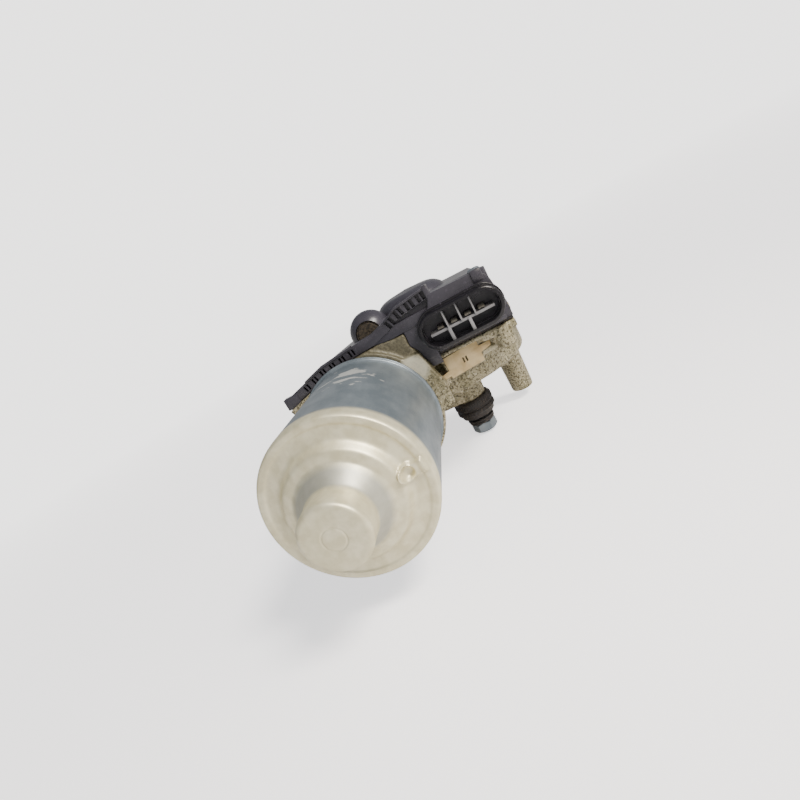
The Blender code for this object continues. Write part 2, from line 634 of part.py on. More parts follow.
def plan_outline(inset=0.0):
    """Outline of the deck and cover from above, with the given inset."""
    left, right = COVER_LEFT + inset, COVER_RIGHT - inset
    front, back = RIM_Y + FLANGE_T + GAP + inset, 46.0 - inset
    r = BOWL_R + 1.4 - inset
    corner = 6.0 - inset
    outline = [(left, front), (right, front)]
    start = -30.0
    outline += [(right, r * sin(radians(start)))]
    outline += arc(0, 0, r, start + 8, 28, 7)
    outline += arc(29.5, 27.5, 5.6 - inset, -5, 95, 5)
    outline += arc(0, 0, r, 62, 78, 3)
    outline += [(0.0, back - 3.0), (-12.0, back), (-60.0, back - 8.0)]
    outline += arc(left + corner, 24.0 - inset, corner, 90, 180, 4)
    return outline


def roof_profile(drop=0.0, inset=0.0):
    """Section of the cover in the XZ plane, roof lowered by drop."""
    points = [(x, z - drop) for x, z in HEM_KNOTS[:6]]
    points[0] = (-90.0, hem_top(-74.0) - 4.0 - drop)
    points += [(-8.0, 86.6 - drop), (29.0, 86.0 - drop)]
    points += [(33.0 - inset, 83.0 - drop), (COVER_RIGHT - inset, 66.0), (COVER_RIGHT - inset, 40.0)]
    points += [(-90.0, 40.0)]
    return points


def sheared(bm):
    """Let the roof fall towards the back."""
    for v in bm.verts:
        if v.co.z > DECK_Z:
            v.co.z -= COVER_SLOPE_Y * (v.co.y - HEM_Y0)
    return bm


def oval(r, steps=8):
    points = arc(COLLAR_X + COLLAR_HALF, COLLAR_Z, r, -90, 90, steps)
    return points + arc(COLLAR_X - COLLAR_HALF, COLLAR_Z, r, 90, 270, steps)


def hem_outline():
    return list(HEM_KNOTS) + [(x, z - HEM_T) for x, z in reversed(HEM_KNOTS)]


def build_cover():
    roof = sheared(prism(roof_profile(), -60.0, 60.0, "xz"))
    cavity_roof = sheared(prism(roof_profile(COVER_WALL + 0.6, COVER_WALL), -60.0, 60.0, "xz"))
    cavity = combine("cavity", prism(plan_outline(COVER_WALL), COVER_Z0 - 2.0, 100.0),
                     keeps=[cavity_roof])
    cavity_bm = bmesh.new()
    cavity_bm.from_mesh(cavity.data)
    bmesh.ops.scale(cavity_bm, vec=(1 / MM, 1 / MM, 1 / MM), verts=cavity_bm.verts)
    bpy.data.objects.remove(cavity, do_unlink=True)
    shell = combine("shell", prism(plan_outline(), COVER_Z0, 100.0), keeps=[roof],
                    cuts=[cavity_bm])
    shell_bm = bmesh.new()
    shell_bm.from_mesh(shell.data)
    bmesh.ops.scale(shell_bm, vec=(1 / MM, 1 / MM, 1 / MM), verts=shell_bm.verts)
    bpy.data.objects.remove(shell, do_unlink=True)

    block_front = [(BLOCK_LEFT, 63.0), (BLOCK_LEFT, 86.6), (28.5, 85.6), (33.0, 82.6),
                   (BLOCK_RIGHT, 66.0), (BLOCK_RIGHT - 0.6, 63.0)]
    plate = [(-14.6, 76.6), (-13.6, 81.5), (5.9, 81.7), (0.5, 77.0)]
    apron = list(SKIRT[:4]) + [(0.6, 62.0), (-5.7, 62.0)]
    dome = lathe([(0, -DOME_R)] + [(DOME_R * cos(radians(a)), DOME_R * sin(radians(a)))
                                   for a in range(-60, 90, 20)] + [(0, DOME_R)], SMALL_SEG)
    hub_dome = lathe([(0, 80.5), (HUB_DOME_R, 80.5), (HUB_DOME_R, HUB_DOME_TOP - 4.0),
                      (HUB_DOME_R - 4.0, HUB_DOME_TOP - 0.6), (0, HUB_DOME_TOP + 0.6)], 28)
    socket_floor = COLLAR_Y0 + SOCKET_DEPTH
    cuts = [prism(oval(SOCKET_R), COLLAR_Y0 - 1.0, socket_floor, "xz")]
    cuts.append(moved(ring(0, VENT_R + GAP, DOME_CUT_Y - 15.0, DOME_CUT_Y + VENT_T + GAP, SMALL_SEG,
                           "y"), (DOME_AT[0], 0, DOME_AT[2])))
    cuts.append(moved(ring(0, DOME_R - 2.7, COVER_Z0 - 1.0, DOME_AT[2] - 2.0, 16),
                      (DOME_AT[0], DOME_AT[1], 0)))
    for k in range(4):
        x = COLLAR_X + (k - 1.5) * BLADE_PITCH
        cuts.append(block((x - BLADE_W / 2 - GAP, socket_floor - 1, COLLAR_Z - BLADE_T / 2 - GAP),
                          (x + BLADE_W / 2 + GAP, BLOCK_Y0 + 12, COLLAR_Z + BLADE_T / 2 + GAP)))
    for x, y, z in COVER_SCREWS:
        cuts.append(moved(ring(0, SCREW_R + GAP, 50.0, 100.0, 10), (x, y, 0)))
        cuts.append(moved(ring(0, SCREW_HEAD_R + GAP, z - SCREW_HEAD_H, 100.0, 12), (x, y, 0)))
    adds = [prism(block_front, BLOCK_Y0, BLOCK_Y0 + BLOCK_DEPTH, "xz"),
            prism(SKIRT, HEM_Y0 + 1.0, RIM_Y + FLANGE_T - GAP / 3, "xz"),
            prism(apron, HEM_Y0 + 1.0, RIM_Y + FLANGE_T + 1.6, "xz"),
            prism(plate, HEM_Y0 + 0.6, RIM_Y + FLANGE_T + 1.4, "xz"),
            prism(oval(COLLAR_R), COLLAR_Y0, BLOCK_Y0 + 5.4, "xz"),
            prism(hem_outline(), HEM_Y0, HEM_Y0 + HEM_FRONT_T, "xz"),
            moved(dome, DOME_AT), moved(hub_dome, (HUB_DOME_X, HUB_DOME_Y, 0))]
    for x, y, z in COVER_SCREWS:
        adds.append(moved(ring(0, SCREW_HEAD_R + 1.6, COVER_Z0, z - SCREW_HEAD_H + 1.1, 12),
                          (x, y, 0)))
    combine("gear_cover", shell_bm, adds=adds, cuts=cuts, mat=BLACK_PLASTIC)


def build_electronics():
    blade_back = BLOCK_Y0 + 16.0
    for k in range(4):
        x = COLLAR_X + (k - 1.5) * BLADE_PITCH
        z0, z1 = COLLAR_Z - BLADE_T / 2, COLLAR_Z + BLADE_T / 2
        side = [(COLLAR_Y0 + 2.5, z0), (COLLAR_Y0 + 2.5, z1), (blade_back, z1),
                (blade_back, BOARD_Z + BOARD_T + GAP), (blade_back - BLADE_T, BOARD_Z + BOARD_T + GAP),
                (blade_back - BLADE_T, z0)]
        bm = bmesh.new()
        ends = [[bm.verts.new((x + s * BLADE_W / 2, y, z)) for y, z in side] for s in (-1, 1)]
        for end in ends:
            bm.faces.new(end)
        for i in range(len(side)):
            n = (i + 1) % len(side)
            bm.faces.new((ends[0][i], ends[0][n], ends[1][n], ends[1][i]))
        finish(f"terminal_{k + 1}", bm, TIN)
    board = [(-60.0, -36.0), (31.0, -36.0), (31.0, -18.0)] + arc(0, 0, 31.0, -10, 60, 5)
    board += [(-10.0, 31.0), (-56.0, 28.0)]
    combine("circuit_board", prism(board, BOARD_Z, BOARD_Z + BOARD_T),
            cuts=[moved(ring(0, SCREW_HEAD_R + 2.4, 60, 80, 16), (COVER_SCREWS[0][0],
                                                                COVER_SCREWS[0][1], 0))],
            mat=BOARD_GREEN)
    top = BOARD_Z + BOARD_T + GAP
    finish("relay", block((-8.0, 8.0, top), (10.0, 22.0, top + 8.5)), BLACK_PLASTIC)
    finish("motor_capacitor", moved(ring(0, 3.0, -9.0, 9.0, 16, "x"), (-22.0, 12.0, top + 3.1)),
           BLACK_PLASTIC)
    finish("driver_chip", block((-2.0, -12.0, top), (10.0, -2.0, top + 2.0)), BLACK_PLASTIC)
    finish("position_sensor", block((-2.5, -2.0, BOARD_Z - 1.8), (2.5, 2.0, BOARD_Z - GAP)),
           BLACK_PLASTIC)
    finish("vent_plug", lathe([(0, 0), (VENT_R, 0), (VENT_R, VENT_T), (0, VENT_T)], SMALL_SEG, "y"),
           MEMBRANE, (DOME_AT[0], DOME_CUT_Y, DOME_AT[2]))


# ---- housing -------------------------------------------------------------------------------
def at_clip(bm):
    """Move a shape drawn round the ground clip's own turning point to its slanted place."""
    centre = (CLIP_X, CLIP_Y, 0)
    return turned(moved(bm, centre), CLIP_TURN, "Z", centre)


def flange_outline():
    """Front plate of the housing, behind the can: a disc with a top bridge and a side lug."""
    cx, cz = -WORM_OFFSET, MOTOR_Z
    r = CAN_RIM_R + 1.2
    outline = arc(cx, cz, r, 150, 345, 22)
    outline += [(-3.0, 38.0), (-2.6, 49.6), (-4.7, 56.4), (-7.4, 66.3), (-9.7, 69.8), (-9.4, 76.2),
                (-15.0, 76.2)]
    xs = (-15.6, -23.0, -31.0, -50.0, -62.0, -73.0)
    return outline + [(x, hem_top(x) - HEM_T - GAP) for x in xs]


def recess_outline():
    """Part of the flange's face, above and outside the can, that steps back."""
    points = arc(-WORM_OFFSET, MOTOR_Z, CAN_RIM_R + 1.4, 37.5, 120, 12)
    return [(-4.0, RECESS_Z)] + points + [(points[-1][0], 95.0), (-4.0, 95.0)]


def build_housing():
    cx = -WORM_OFFSET
    inner_y = RIM_Y + FLANGE_T + GAP - 2.5
    seat_r = BEARING_R + GAP
    boss_root_r = BOSS_R + 0.8
    deck = prism(plan_outline(), DECK_Z - DECK_T, DECK_Z)
    adds = [ring(0, BOWL_R, FLOOR_Z0, DECK_Z - 1.0, BIG_SEG),
            moved(ring(0, TUNNEL_R + TUNNEL_WALL, RIM_Y + 2.0, THRUST_Y + 6.0, 32, "y"),
                  (cx, 0, MOTOR_Z)),
            moved(ring(0, BEARING_R + TUNNEL_WALL, RIM_Y + 2.5, inner_y + BEARING_LEN + TUNNEL_WALL,
                       32, "y"), (cx, 0, MOTOR_Z)),
            prism(flange_outline(), RIM_Y + GAP, RIM_Y + FLANGE_T, "xz"),
            moved(ring(0, CAN_R - CAN_WALL - 2 * GAP - 1.2, RIM_Y - SPIGOT_LEN, RIM_Y + 1.0, BIG_SEG,
                       "y"), (cx, 0, MOTOR_Z)),
            lathe([(0, BOSS_END_Z), (BOSS_R, BOSS_END_Z), (boss_root_r, FLOOR_Z0 + 1),
                   (0, FLOOR_Z0 + 1)], 32),
            block((-15.5, -8.5, BOSS_END_Z + 1.5), (-2.0, -3.0, FLOOR_Z0 + 1)),
            block((cx, -24.0, FLOOR_Z0 + 3), (0.0, 24.0, DECK_Z - 2.0)),
            block((cx - 8.0, RIM_Y + 2.0, MOTOR_Z - 2), (cx + 8.0, THRUST_Y + 4.0, DECK_Z - 2.0)),
            block((-66.0, RIM_Y + 2.0, DECK_Z - 12.0), (-10.0, RIM_Y + 9.0, DECK_Z - 1.0))]
    adds.append(at_clip(block((CLIP_LEFT - 0.9, CLIP_PAD_FACE, CLIP_Z0 - 0.8),
                              (CLIP_RIGHT + 0.5, 8.0, CLIP_Z1 - 0.9))))
    for x, y in POSTS:
        adds.append(cone_post(x, y, POST_R, POST_R + POST_TAPER, POST_END_Z, DECK_Z - 1.0))
    adds.append(block((-62.0, 20.0, DECK_Z - 10.0), (-24.0, 38.0, DECK_Z - 1.0)))
    adds.append(block((-64.0, -30.0, DECK_Z - 14.0), (cx, -18.0, DECK_Z - 1.0)))
    for x, y, _ in COVER_SCREWS:
        adds.append(moved(ring(0, 4.4, DECK_Z - 10.0, DECK_Z, 12), (x, y, 0)))
    cuts = [ring(0, CAVITY_R, FLOOR_Z1, DECK_Z + 5.0, BIG_SEG),
            moved(ring(0, TUNNEL_R, inner_y - 1, THRUST_Y - 8.0, 32, "y"), (cx, 0, MOTOR_Z)),
            moved(ring(0, SHAFT_R + RUN, THRUST_Y - 9.0, THRUST_Y + 1.0, SMALL_SEG, "y"),
                  (cx, 0, MOTOR_Z)),
            moved(ring(0, 3.0 + GAP, THRUST_Y, THRUST_Y + 12.0, SMALL_SEG, "y"), (cx, 0, MOTOR_Z)),
            moved(ring(0, seat_r, inner_y - GAP, inner_y + BEARING_LEN + GAP, 32, "y"),
                  (cx, 0, MOTOR_Z)),
            moved(ring(0, seat_r + 1.0, RIM_Y - SPIGOT_LEN - 1.0, inner_y + 0.5, 32, "y"),
                  (cx, 0, MOTOR_Z)),
            ring(0, BUSH_R + GAP, BOSS_END_Z - 1, FLOOR_Z1 + 1, SMALL_SEG)]
    for x, y in POSTS:
        cuts.append(moved(ring(0, POST_BORE_R, POST_END_Z - 1, POST_END_Z + POST_BORE_DEPTH, 16),
                          (x, y, 0)))
    for x, y, _ in COVER_SCREWS:
        cuts.append(moved(ring(0, SCREW_R + GAP, DECK_Z - SCREW_GRIP, DECK_Z + 1, 10), (x, y, 0)))
    cuts.append(at_clip(block((CLIP_LEFT - 1.4, -12.0, CLIP_Z1 - 2.4),
                              (CLIP_RIGHT + 1.5, CLIP_PAD_FACE, CLIP_Z1 + 0.6))))
    cuts.append(prism(recess_outline(), RIM_Y - 5.0, RIM_Y + GAP + RECESS_T, "xz"))
    combine("gear_housing", deck, adds=adds, cuts=cuts, mat=ALUMINIUM)

    finish("thrust_screw", moved(ring(0, 3.0, THRUST_Y + 0.2, THRUST_Y + 9.0, SMALL_SEG, "y"),
                                 (cx, 0, MOTOR_Z)), ZINC)


def build_gasket():
    outer = plan_outline(GAP)
    inner = plan_outline(GAP + GASKET_W)
    bm = bmesh.new()
    loops = []
    for z in (DECK_Z + GAP, DECK_Z + GAP + GASKET_T):
        for outline in (outer, inner):
            loops.append([bm.verts.new((x, y, z)) for x, y in outline])
    low_out, low_in, high_out, high_in = loops
    count = len(outer)
    for k in range(count):
        n = (k + 1) % count
        bm.faces.new((low_out[k], low_out[n], low_in[n], low_in[k]))
        bm.faces.new((high_out[k], high_out[n], high_in[n], high_in[k]))
        bm.faces.new((low_out[k], low_out[n], high_out[n], high_out[k]))
        bm.faces.new((low_in[k], low_in[n], high_in[n], high_in[k]))
    return bm


def build_fasteners():
    bm = build_gasket()
    cuts = [moved(ring(0, SCREW_R + GAP, DECK_Z - 1, DECK_Z + 4, 10), (x, y, 0))
            for x, y, _ in COVER_SCREWS]
    combine("cover_gasket", bm, cuts=cuts, mat=RUBBER)
    for k, (x, y, z) in enumerate(COVER_SCREWS, 1):
        seat = z - SCREW_HEAD_H + GAP
        tip = DECK_Z - SCREW_GRIP + 1.0
        screw = lathe([(0, tip), (SCREW_R * 0.5, tip), (SCREW_R, tip + 1.5), (SCREW_R, seat),
                       (SCREW_HEAD_R, seat), (SCREW_HEAD_R, seat + SCREW_HEAD_H * 0.7),
                       (SCREW_HEAD_R * 0.7, seat + SCREW_HEAD_H),
                       (SCREW_R, seat + SCREW_HEAD_H), (SCREW_R * 0.8, seat + 0.8), (0, seat + 0.8)],
                      10)
        finish(f"cover_screw_{k}", screw, ZINC, (x, y, 0))
    clip_back = CLIP_PAD_FACE - GAP
    plate = block((CLIP_LEFT, clip_back - CLIP_T, CLIP_Z0), (CLIP_RIGHT, clip_back, CLIP_Z1))
    slot = block((0.2, clip_back - CLIP_T - 1, 50.9), (2.6, clip_back + 1, 53.6))
    combine("ground_clip", at_clip(plate), cuts=[at_clip(slot)], mat=TIN)
    cap_inner = OUT_R + 2.4
    cap = lathe([(OUT_R + 0.8, CAP_END_Z), (CAP_R - 1.9, CAP_END_Z), (CAP_R - 0.9, CAP_END_Z + 3.0),
                 (CAP_R, CAP_END_Z + 5.5), (CAP_R, CAP_END_Z + 8.6), (CAP_R - 0.8, CAP_END_Z + CAP_H),
                 (BOSS_R + GAP, CAP_END_Z + CAP_H), (BOSS_R + GAP, BOSS_END_Z - GAP),
                 (cap_inner, BOSS_END_Z - 3.4), (cap_inner, CAP_END_Z + 2.0),
                 (OUT_R + 0.8, CAP_END_Z + 1.2)], BIG_SEG)
    finish("dust_cap", cap, RUBBER)


output_axis = axis_empty("output_axis", (0, 0, 0))
armature_axis = axis_empty("armature_axis", (-WORM_OFFSET, 0, MOTOR_Z))
build_gear_train(output_axis, armature_axis)
build_can()
build_armature(armature_axis)
build_brush_gear()
build_housing()
build_cover()
build_electronics()
build_fasteners()
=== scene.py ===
"""Windscreen wiper motor: the visible pieces, their finishes and a plain studio stage."""
import json
from math import cos, exp, hypot, pi, radians, sin

import bmesh
import bpy
from bpy.props import FloatProperty, FloatVectorProperty, IntProperty, PointerProperty
from mathutils import Matrix, Vector


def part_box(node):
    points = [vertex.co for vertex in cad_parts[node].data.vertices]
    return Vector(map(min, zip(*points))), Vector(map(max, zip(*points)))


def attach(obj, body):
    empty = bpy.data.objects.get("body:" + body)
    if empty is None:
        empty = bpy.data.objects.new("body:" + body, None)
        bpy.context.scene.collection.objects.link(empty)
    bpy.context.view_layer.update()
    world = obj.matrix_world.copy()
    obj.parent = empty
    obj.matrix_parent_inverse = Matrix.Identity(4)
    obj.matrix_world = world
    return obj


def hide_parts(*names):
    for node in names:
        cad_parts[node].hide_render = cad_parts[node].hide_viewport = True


bl_info = {
    "name": "Wiper Motor",
    "version": (1, 0, 0),
    "blender": (4, 5, 0),
    "location": "3D View > Sidebar > Wiper Motor",
    "description": "Builds the visible pieces of a windscreen wiper motor round its CAD frame",
    "category": "Object",
}

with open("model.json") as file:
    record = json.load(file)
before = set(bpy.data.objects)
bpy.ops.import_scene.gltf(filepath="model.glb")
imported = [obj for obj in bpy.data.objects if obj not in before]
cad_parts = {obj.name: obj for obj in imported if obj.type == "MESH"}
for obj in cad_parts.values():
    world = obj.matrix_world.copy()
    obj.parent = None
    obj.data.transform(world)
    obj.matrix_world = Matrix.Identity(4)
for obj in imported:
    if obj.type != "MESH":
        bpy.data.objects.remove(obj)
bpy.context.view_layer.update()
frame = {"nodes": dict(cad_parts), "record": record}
MM = 0.001


def corners(node):
    """Lowest and highest corner of a CAD node in millimetres."""
    return [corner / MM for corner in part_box(node)]


# ---- places taken from the frame, in millimetres ----
CAN_LO, CAN_HI = corners("motor_can")
CAP_LO, CAP_HI = corners("dust_cap")
NUT_LO, NUT_HI = corners("arm_nut")
RING_LO, RING_HI = corners("spacer_ring")
VENT_LO, VENT_HI = corners("vent_plug")
GASKET_LO, GASKET_HI = corners("cover_gasket")
MOTOR_X = (CAN_LO.x + CAN_HI.x) / 2
MOTOR_Z = (CAN_LO.z + CAN_HI.z) / 2
RIM_Y = CAN_HI.y                        # plane where the can meets the casting
CAN_RIM_R = (CAN_HI.x - CAN_LO.x) / 2
GAP = 0.3                               # free gap between two pieces
CAN_LEN = 67.5                          # rim plane to the can's end face
LUG_R, LUG_ANGLE = 23.2, 3             # middle of the keyhole lug's round end, about the axis
DECK_Z = GASKET_LO.z - GAP              # top face of the casting
COVER_Z0 = GASKET_HI.z + GAP            # lower edge of the cover
VENT_AT = ((VENT_LO.x + VENT_HI.x) / 2, VENT_LO.y, (VENT_LO.z + VENT_HI.z) / 2)
VENT_R = (VENT_HI.x - VENT_LO.x) / 2
SCREW_NODES = [f"cover_screw_{k}" for k in range(1, 6)]
TERMINAL_NODES = [f"terminal_{k}" for k in range(1, 5)]


# ---- settings ----
def length(name, text, millimetres):
    return FloatProperty(name=name, description=text, default=millimetres * MM, unit="LENGTH")


def colour(name, text, hexa):
    return FloatVectorProperty(name=name, description=text, subtype="COLOR", size=3, min=0,
                               max=1, default=from_hex(hexa))


def from_hex(hexa):
    """Linear RGB of an sRGB hex colour."""
    channels = [int(hexa[i:i + 2], 16) / 255 for i in (1, 3, 5)]
    return tuple(c / 12.92 if c <= 0.04045 else ((c + 0.055) / 1.055) ** 2.4 for c in channels)


class CanSettings(bpy.types.PropertyGroup):
    shoulder: length("Shoulder radius", "Rounding between the can's side and its end", 3.4)
    boss_radius: length("Boss radius", "Radius of the bearing boss on the can's end", 11.7)
    bead: length("Bead", "Depth of the groove pressed inside the shoulder", 0.5)
    lug: length("Lug height", "Height of the lug pressed into the can's end", 1.7)
    facets: IntProperty(name="Facets", description="Facets round the can", default=384, min=48)


class CastingSettings(bpy.types.PropertyGroup):
    voxel: length("Voxel", "Grid on which the casting's fillets are made", 0.62)
    fillet: IntProperty(name="Fillet passes", description="Smoothing passes", default=5, min=0)


class CoverSettings(bpy.types.PropertyGroup):
    edge: length("Edge radius", "Rounding along the cover's moulded edges", 0.9)
    wall: length("Wall", "Thickness of the cover's wall", 2.2)


class SocketSettings(bpy.types.PropertyGroup):
    collar: length("Collar radius", "Radius of the collar's round ends", 8.2)
    lip: length("Lip", "Thickness of the collar's lip", 1.5)
    depth: length("Depth", "Depth of the socket", 11)
    pitch: length("Pitch", "Distance between two contacts", 6.2)


class OutputSettings(bpy.types.PropertyGroup):
    cap_ribs: IntProperty(name="Cap ribs", description="Grip ribs round the dust cap",
                          default=44, min=8)
    rib: length("Rib", "Width of one grip rib", 0.75)
    chamfer: length("Chamfer", "Chamfer of the nut's corners", 0.7)


class StageSettings(bpy.types.PropertyGroup):
    floor: colour("Floor", "Colour of the paper floor", "#F3F1F2")
    horizon: colour("Horizon", "Colour of the studio at eye level", "#F6F4F2")
    zenith: colour("Zenith", "Colour of the studio overhead", "#7A828A")
    sky: FloatProperty(name="Studio light", description="Strength of the studio's own light",
                       default=0.75, min=0)
    backdrop: FloatProperty(name="Backdrop", description="Brightness of the backdrop as seen",
                            default=3, min=0)
    glow: FloatProperty(name="Paper glow", description="Light that the camera sees the paper "
                        "give off, as on a light table", default=1.5, min=0)
    sun: FloatProperty(name="Sun", description="Strength of the soft main light", default=3.8,
                       min=0)
    key_power: FloatProperty(name="Key power", description="Power of the key light in watts",
                             default=0.45, min=0)


class WiperMotorSettings(bpy.types.PropertyGroup):
    can: PointerProperty(type=CanSettings)
    casting: PointerProperty(type=CastingSettings)
    cover: PointerProperty(type=CoverSettings)
    socket: PointerProperty(type=SocketSettings)
    output: PointerProperty(type=OutputSettings)
    stage: PointerProperty(type=StageSettings)


def settings():
    return bpy.context.scene.wiper_motor


# ---- materials ----
def add_node(tree, kind, inputs=None, **options):
    """Add one node, set its options, and set or link its inputs."""
    made = tree.nodes.new(kind)
    for key, value in options.items():
        setattr(made, key, value)
    for key, value in (inputs or {}).items():
        socket = made.inputs[key]
        if isinstance(value, bpy.types.NodeSocket):
            tree.links.new(value, socket)
        else:
            socket.default_value = value
    return made


# What each real material is, and how its surface was made:
# base and second colour, metallic, roughness, its spread, blotch size, grain size, bump height.
# Sizes are in millimetres; grains finer than 0.3 mm are drawn at 0.3 mm so that they show.
FINISHES = {
    # can, nut and screws: a satin blue-grey sheen with cloudy wipes
    "zinc_plated_steel": ("#8C959C", "#7A848C", 0.6, 0.42, 0.08, 9, 0.8, 0.006),
    # housing: a dull sandy skin, pitted and speckled
    "die_cast_aluminium": ("#ACA387", "#8E866A", 0.25, 0.50, 0.12, 8, 0.8, 0.035),
    # cover: dark purple-grey, grained, with a soft shine on its edges
    "black_plastic": ("#3F3D45", "#312F36", 0, 0.32, 0.10, 14, 0.35, 0.008),
    # socket dividers and brush plate: light, smooth, catches the light; the dividers are black
    # moulding, so on them this grey is painted highlight
    "grey_plastic": ("#8E8D90", "#7B7B7E", 0, 0.28, 0.08, 10, 0.35, 0.010),
    # worm wheel: waxy off-white
    "white_acetal": ("#B9B6A8", "#A9A594", 0, 0.36, 0.06, 8, 0.40, 0.006),
    # cap, ring and gasket: warm black, matt, dusty
    "black_rubber": ("#262120", "#1F1C1A", 0, 0.52, 0.12, 5, 0.40, 0.030),
    # shafts and bearing rings: ground, with tight bright highlights
    "bright_steel": ("#A3A4A5", "#8F9193", 1, 0.24, 0.08, 4, 0.30, 0.004),
    # springs and circlip: darker drawn wire
    "spring_steel": ("#77787C", "#65666A", 1, 0.30, 0.08, 3, 0.30, 0.004),
    # contact blades: pale, soft metallic gleam
    "tinned_bronze": ("#DAD6CA", "#C4BFB2", 0.80, 0.30, 0.10, 6, 0.40, 0.010),
    # earth clip: tan iridescent chromate layer over steel
    "chromated_strip": ("#CDB88E", "#B79F74", 0.45, 0.40, 0.12, 6, 0.40, 0.012),
    # plain bushes: porous brown bronze
    "sintered_bronze": ("#7A5930", "#5D411F", 0.85, 0.58, 0.10, 2, 0.35, 0.030),
    # brush boxes: yellow, lightly tarnished
    "brass": ("#B0914A", "#967936", 1, 0.34, 0.10, 4, 0.30, 0.006),
    # windings and commutator: fine wire ridges, red-brown
    "copper": ("#A56032", "#844920", 0.95, 0.34, 0.10, 1.2, 0.45, 0.060),
    # armature core: dark edges of stacked sheets
    "lamination_steel": ("#5A5C61", "#45474B", 0.85, 0.44, 0.10, 2, 0.50, 0.050),
    # magnets: charcoal grey, matt ceramic
    "ferrite": ("#2A2B2E", "#1E1F22", 0, 0.66, 0.10, 3, 0.35, 0.020),
    # brushes: black with a faint graphite sheen
    "carbon": ("#1F1D1C", "#161413", 0.1, 0.74, 0.08, 1, 0.30, 0.020),
    # board: green solder mask with lighter tracks
    "circuit_board": ("#14552C", "#0E4322", 0, 0.40, 0.10, 2.2, 0.60, 0.020),
    # vent disc: brown felt, fully matt
    "vent_membrane": ("#453C30", "#1F1B16", 0, 0.80, 0.08, 0.9, 0.35, 0.060),
}


def per_metre(millimetres):
    """Noise scale for a feature of the given size."""
    return 1 / (millimetres * MM)


def rgba(hexa):
    return (*from_hex(hexa), 1)


def noise(tree, coords, size, detail=3):
    return add_node(tree, "ShaderNodeTexNoise",
                    {"Vector": coords, "Scale": per_metre(size), "Detail": detail}).outputs[0]


def remap(tree, value, low, high, to_low=0, to_high=1):
    return add_node(tree, "ShaderNodeMapRange", {"Value": value, 1: low, 2: high, 3: to_low,
                                                 4: to_high}).outputs[0]


def blend(tree, factor, first, second):
    return add_node(tree, "ShaderNodeMix", {0: factor, 6: first, 7: second},
                    data_type="RGBA").outputs[2]


def maths(tree, operation, first, second):
    return add_node(tree, "ShaderNodeMath", {0: first, 1: second}, operation=operation).outputs[0]


def distance(tree, coords, place):
    """Distance from a place given in millimetres."""
    return add_node(tree, "ShaderNodeVectorMath", {0: coords, 1: [v * MM for v in place]},
                    operation="DISTANCE").outputs[1]


def stretched(tree, coords, scale, turn=0):
    """Coordinates scaled, then turned about Z, so that a pattern runs in streaks."""
    return add_node(tree, "ShaderNodeMapping", {"Vector": coords, "Scale": scale,
                                                "Rotation": (0, 0, turn)}).outputs[0]


def depth_of(tree, coords):
    """Place along the motor's axis."""
    return add_node(tree, "ShaderNodeSeparateXYZ", {0: coords}).outputs["Y"]


def finish_of(name):
    """The named finish as a procedural material, built once."""
    known = bpy.data.materials.get("finish_" + name)
    if known:
        return known
    base, second, metallic, rough, spread, blotch, grain, height = FINISHES[name]
    mat = bpy.data.materials.new("finish_" + name)
    mat.use_nodes = True
    tree = mat.node_tree
    shader = tree.nodes["Principled BSDF"]
    coords = add_node(tree, "ShaderNodeTexCoord").outputs["Object"]
    blotches = remap(tree, noise(tree, coords, blotch), 0.38, 0.62)
    grains = noise(tree, coords, grain, 2)
    tint = blend(tree, blotches, rgba(base), rgba(second))
    gloss = remap(tree, grains, 0.3, 0.7, rough - spread / 2, rough + spread / 2)
    extra = SPECIAL.get(name)
    if extra:
        tint, gloss = extra(tree, coords, tint, gloss, grains)
    bump = add_node(tree, "ShaderNodeBump", {"Height": grains, "Distance": height * MM * 4,
                                             "Strength": 0.6})
    shader.inputs["Metallic"].default_value = metallic
    for socket, value in (("Base Color", tint), ("Roughness", gloss),
                          ("Normal", bump.outputs["Normal"])):
        tree.links.new(value, shader.inputs[socket])
    return mat


def zinc_detail(tree, coords, tint, gloss, grains):
    """Drawn and barrel-plated steel: wipe marks along the can; a paler matt cream on the pressed
    end, partly a passivate tint and partly painted light where the lamp falls full on it;
    a painted grey reflection on the cone round the boss; and ragged white painted highlights
    on top of the can."""
    streaks = noise(tree, stretched(tree, coords, (1, 0.22, 1)), 6, 4)
    wipes = remap(tree, streaks, 0.46, 0.62, 0, 0.35)
    tint = blend(tree, wipes, tint, rgba("#66717A"))
    # painted highlight: ragged white streaks on the top of the can's side
    away = distance(tree, coords, (MOTOR_X + 8, RIM_Y - 24, MOTOR_Z + 28))
    cloud = noise(tree, stretched(tree, coords, (0.45, 1.2, 1), 0.6), 4.5, 6)
    painted_top_highlight = maths(tree, "SUBTRACT", cloud, remap(tree, away, 6 * MM, 22 * MM, 0.49, 0.80))
    tint = blend(tree, remap(tree, painted_top_highlight, 0, 0.03, 0, 0.9), tint, rgba("#D9DAD6"))
    gloss = maths(tree, "ADD", gloss, remap(tree, wipes, 0, 1, -0.03, 0.10))
    # the pressed end: a cream passivate tint, made paler by painted light from the lamp
    shoulder_y = RIM_Y - CAN_LEN + 4
    on_end = remap(tree, depth_of(tree, coords), (shoulder_y + 3) * MM,
                   (shoulder_y + 0.5) * MM)
    tint_and_painted_light = blend(tree, remap(tree, noise(tree, coords, 3.5), 0.35, 0.65), rgba("#EFE8CB"),
                 rgba("#DDD5B4"))
    # painted reflection: grey on the cone round the boss
    radius = distance(tree, stretched(tree, coords, (1, 0, 1)), (MOTOR_X, 0, MOTOR_Z))
    cone = remap(tree, radius, 17.2 * MM, 15 * MM, 0, 0.6)
    painted_cone_reflection = maths(tree, "MULTIPLY", cone, remap(tree, radius, 11.6 * MM, 12.2 * MM))
    tint_and_painted_light = blend(tree, painted_cone_reflection, tint_and_painted_light, rgba("#8F959A"))
    return blend(tree, on_end, tint, tint_and_painted_light), remap(tree, on_end, 0, 1, gloss, 0.47)
